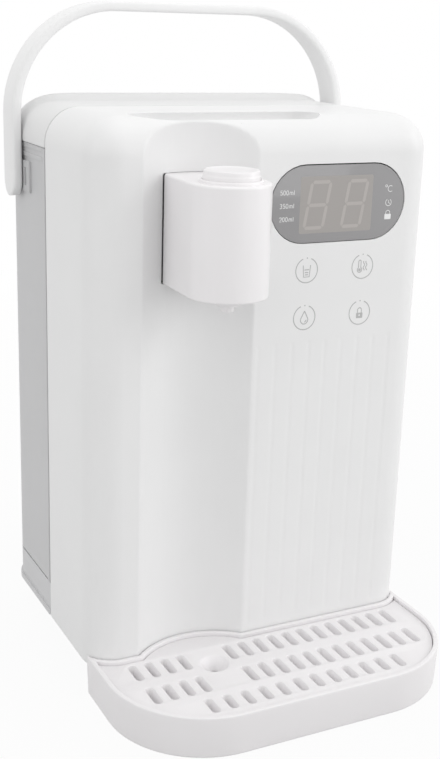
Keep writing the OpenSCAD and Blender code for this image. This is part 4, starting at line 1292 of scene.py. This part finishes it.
# Nodes that keep their form, with eased edges or as they are
EASED = {
    "base_deck": (DECK_GREY, "soft_white", 0.5), "base_plinth": (SOFT_WHITE, "soft_white", 0.6),
    "spout_base": (HEAD_WHITE, "soft_white", 0.3), "chassis_wall": (SOFT_WHITE, "soft_white", 0.5),
    "handle_brackets": (SMOKE, "smoke_tank", 0.35), "dock_socket": (SOFT_WHITE, "soft_white", 0.3),
    "valve_collar": (SOFT_WHITE, "soft_white", 0.2), "valve_cage": (SOFT_WHITE, "soft_white", 0.3),
    "rubber_feet": (RUBBER, "rubber", 0.6), "cord_inlet": (DARK, "dark_plastic", 0.3),
    "handle_studs": (SOFT_WHITE, "soft_white", 0.4), "valve_poppet": (SILICONE, "silicone", 0.3),
    "lid_gasket": (SILICONE, "silicone", 0.3), "dock_seal": (SILICONE, "silicone", 0.2),
    "chassis_screws": (STEEL, "steel", 0.3), "base_screws": (STEEL, "steel", 0.3),
}
KEPT = (
    (DARK, ("display_module", "button_switch", "pump_housing", "heater_caps", "thermostat")),
    (BOARD, ("control_board", "power_board")),
    (STEEL, ("touch_pads", "board_screws", "spout_pipe", "pump_motor", "heater_tube",
             "temperature_sensor")),
    (SOFT_WHITE, ("spout_nut", "switch_shelf", "heater_clamps")),
    (RUBBER, ("pump_pad",)),
    (SILICONE, ("pump_impeller", "inlet_hose", "pump_hose", "outlet_hose", "valve_seal")),
)
EASED_SHARP = 30


def kept_nodes():
    """Eased copies of plain nodes, and looks for those that stay as packed."""
    bodies = frame["record"]["behaviour"]["bodies"]
    body_of = {node: body for body, nodes in bodies.items() for node in nodes}
    for node, (look, slot, edge) in EASED.items():
        shape = node_shape(node)
        piece(node + "_eased", shape, look, body_of[node], node, EASED_SHARP, edge, True)
    for look, nodes in KEPT:
        for node in nodes:
            for material_slot in frame["nodes"][node].material_slots:
                material_slot.material = look


for build in (front_shell, shell_bosses, spout_head, button, nozzle, water_tank, tank_lid, handle,
              drip_tray, drip_grille, display, touch_keys, springs, kept_nodes):
    build()


# Stage: floor, light and camera
FLOOR_HALF = 6
FLOOR_Z = -0.0001
WORLD_LIGHT = 0.76
LAMP_TARGET = (0, 0, 0.17)
LAMPS = (
    ("top_box", (0.1, 0.0, 1.5), 1.2, 1.2, 3.0),
    ("right_box", (1.4, -0.7, 0.8), 0.8, 1.2, 7.0),
    ("left_box", (-1.5, -0.1, 0.7), 0.8, 1.2, 2.2),
    ("front_box", (0.5, -1.4, 0.6), 0.8, 1.0, 2.0),
    ("side_box", (-1.2, -0.9, 0.9), 0.6, 1.0, 1.4),
    ("rear_box", (0.0, 1.0, 1.3), 1.0, 0.8, 0.5),
)


def floor():
    """Plain floor, just below the feet."""
    mesh = bpy.data.meshes.new("floor")
    corners = [(x * FLOOR_HALF, y * FLOOR_HALF, FLOOR_Z) for x, y in ((-1, -1), (1, -1), (1, 1), (-1, 1))]
    mesh.from_pydata(corners, [], [(0, 1, 2, 3)])
    mesh.materials.append(floor_look())
    obj = linked("floor", mesh)


def lamp(name, place, width, height, power):
    """Soft box that faces the object, in metres and watts."""
    data = bpy.data.lights.new(name, "AREA")
    set_up(data, shape="RECTANGLE", size=width, size_y=height, energy=power)
    obj = linked(name, data)
    obj.location = place
    obj.rotation_euler = (Vector(LAMP_TARGET) - Vector(place)).to_track_quat("-Z", "Y").to_euler()


def world():
    """White to look at, and a plain level of light all round."""
    sky = bpy.data.worlds.new("studio")
    sky.use_nodes = True
    bpy.context.scene.world = sky
    tree = sky.node_tree
    light = tree.nodes["Background"]
    feed(tree, light, {"Color": (1, 1, 1, 1), "Strength": WORLD_LIGHT})
    seen = add_node(tree, "Background", {"Color": (1, 1, 1, 1)})
    whitened(tree, seen_rays(tree), light, seen, "World Output")


CAMERA_PLACE = (-0.2787, -0.5302, 0.3339)
CAMERA_YAW = 26.9146
CAMERA_PITCH = 16.9487
CAMERA_ROLL = 1.7982
FOCAL_PIXELS = 1190.28
IMAGE_HEIGHT = 759
SENSOR = 36


def camera():
    """Camera at the photograph's place, turned right, down and about its own axis."""
    data = bpy.data.cameras.new("camera")
    set_up(data, sensor_width=SENSOR, lens=FOCAL_PIXELS * SENSOR / IMAGE_HEIGHT, clip_start=0.01)
    obj = linked("camera", data)
    turn = rotation(-CAMERA_YAW, "Z") @ rotation(90 - CAMERA_PITCH, "X") @ rotation(CAMERA_ROLL, "Z")
    obj.matrix_world = Matrix.Translation(CAMERA_PLACE) @ turn
    bpy.context.scene.camera = obj


floor()
world()
for soft_box in LAMPS:
    lamp(*soft_box)
camera()
bpy.context.scene.view_settings.view_transform = "Standard"
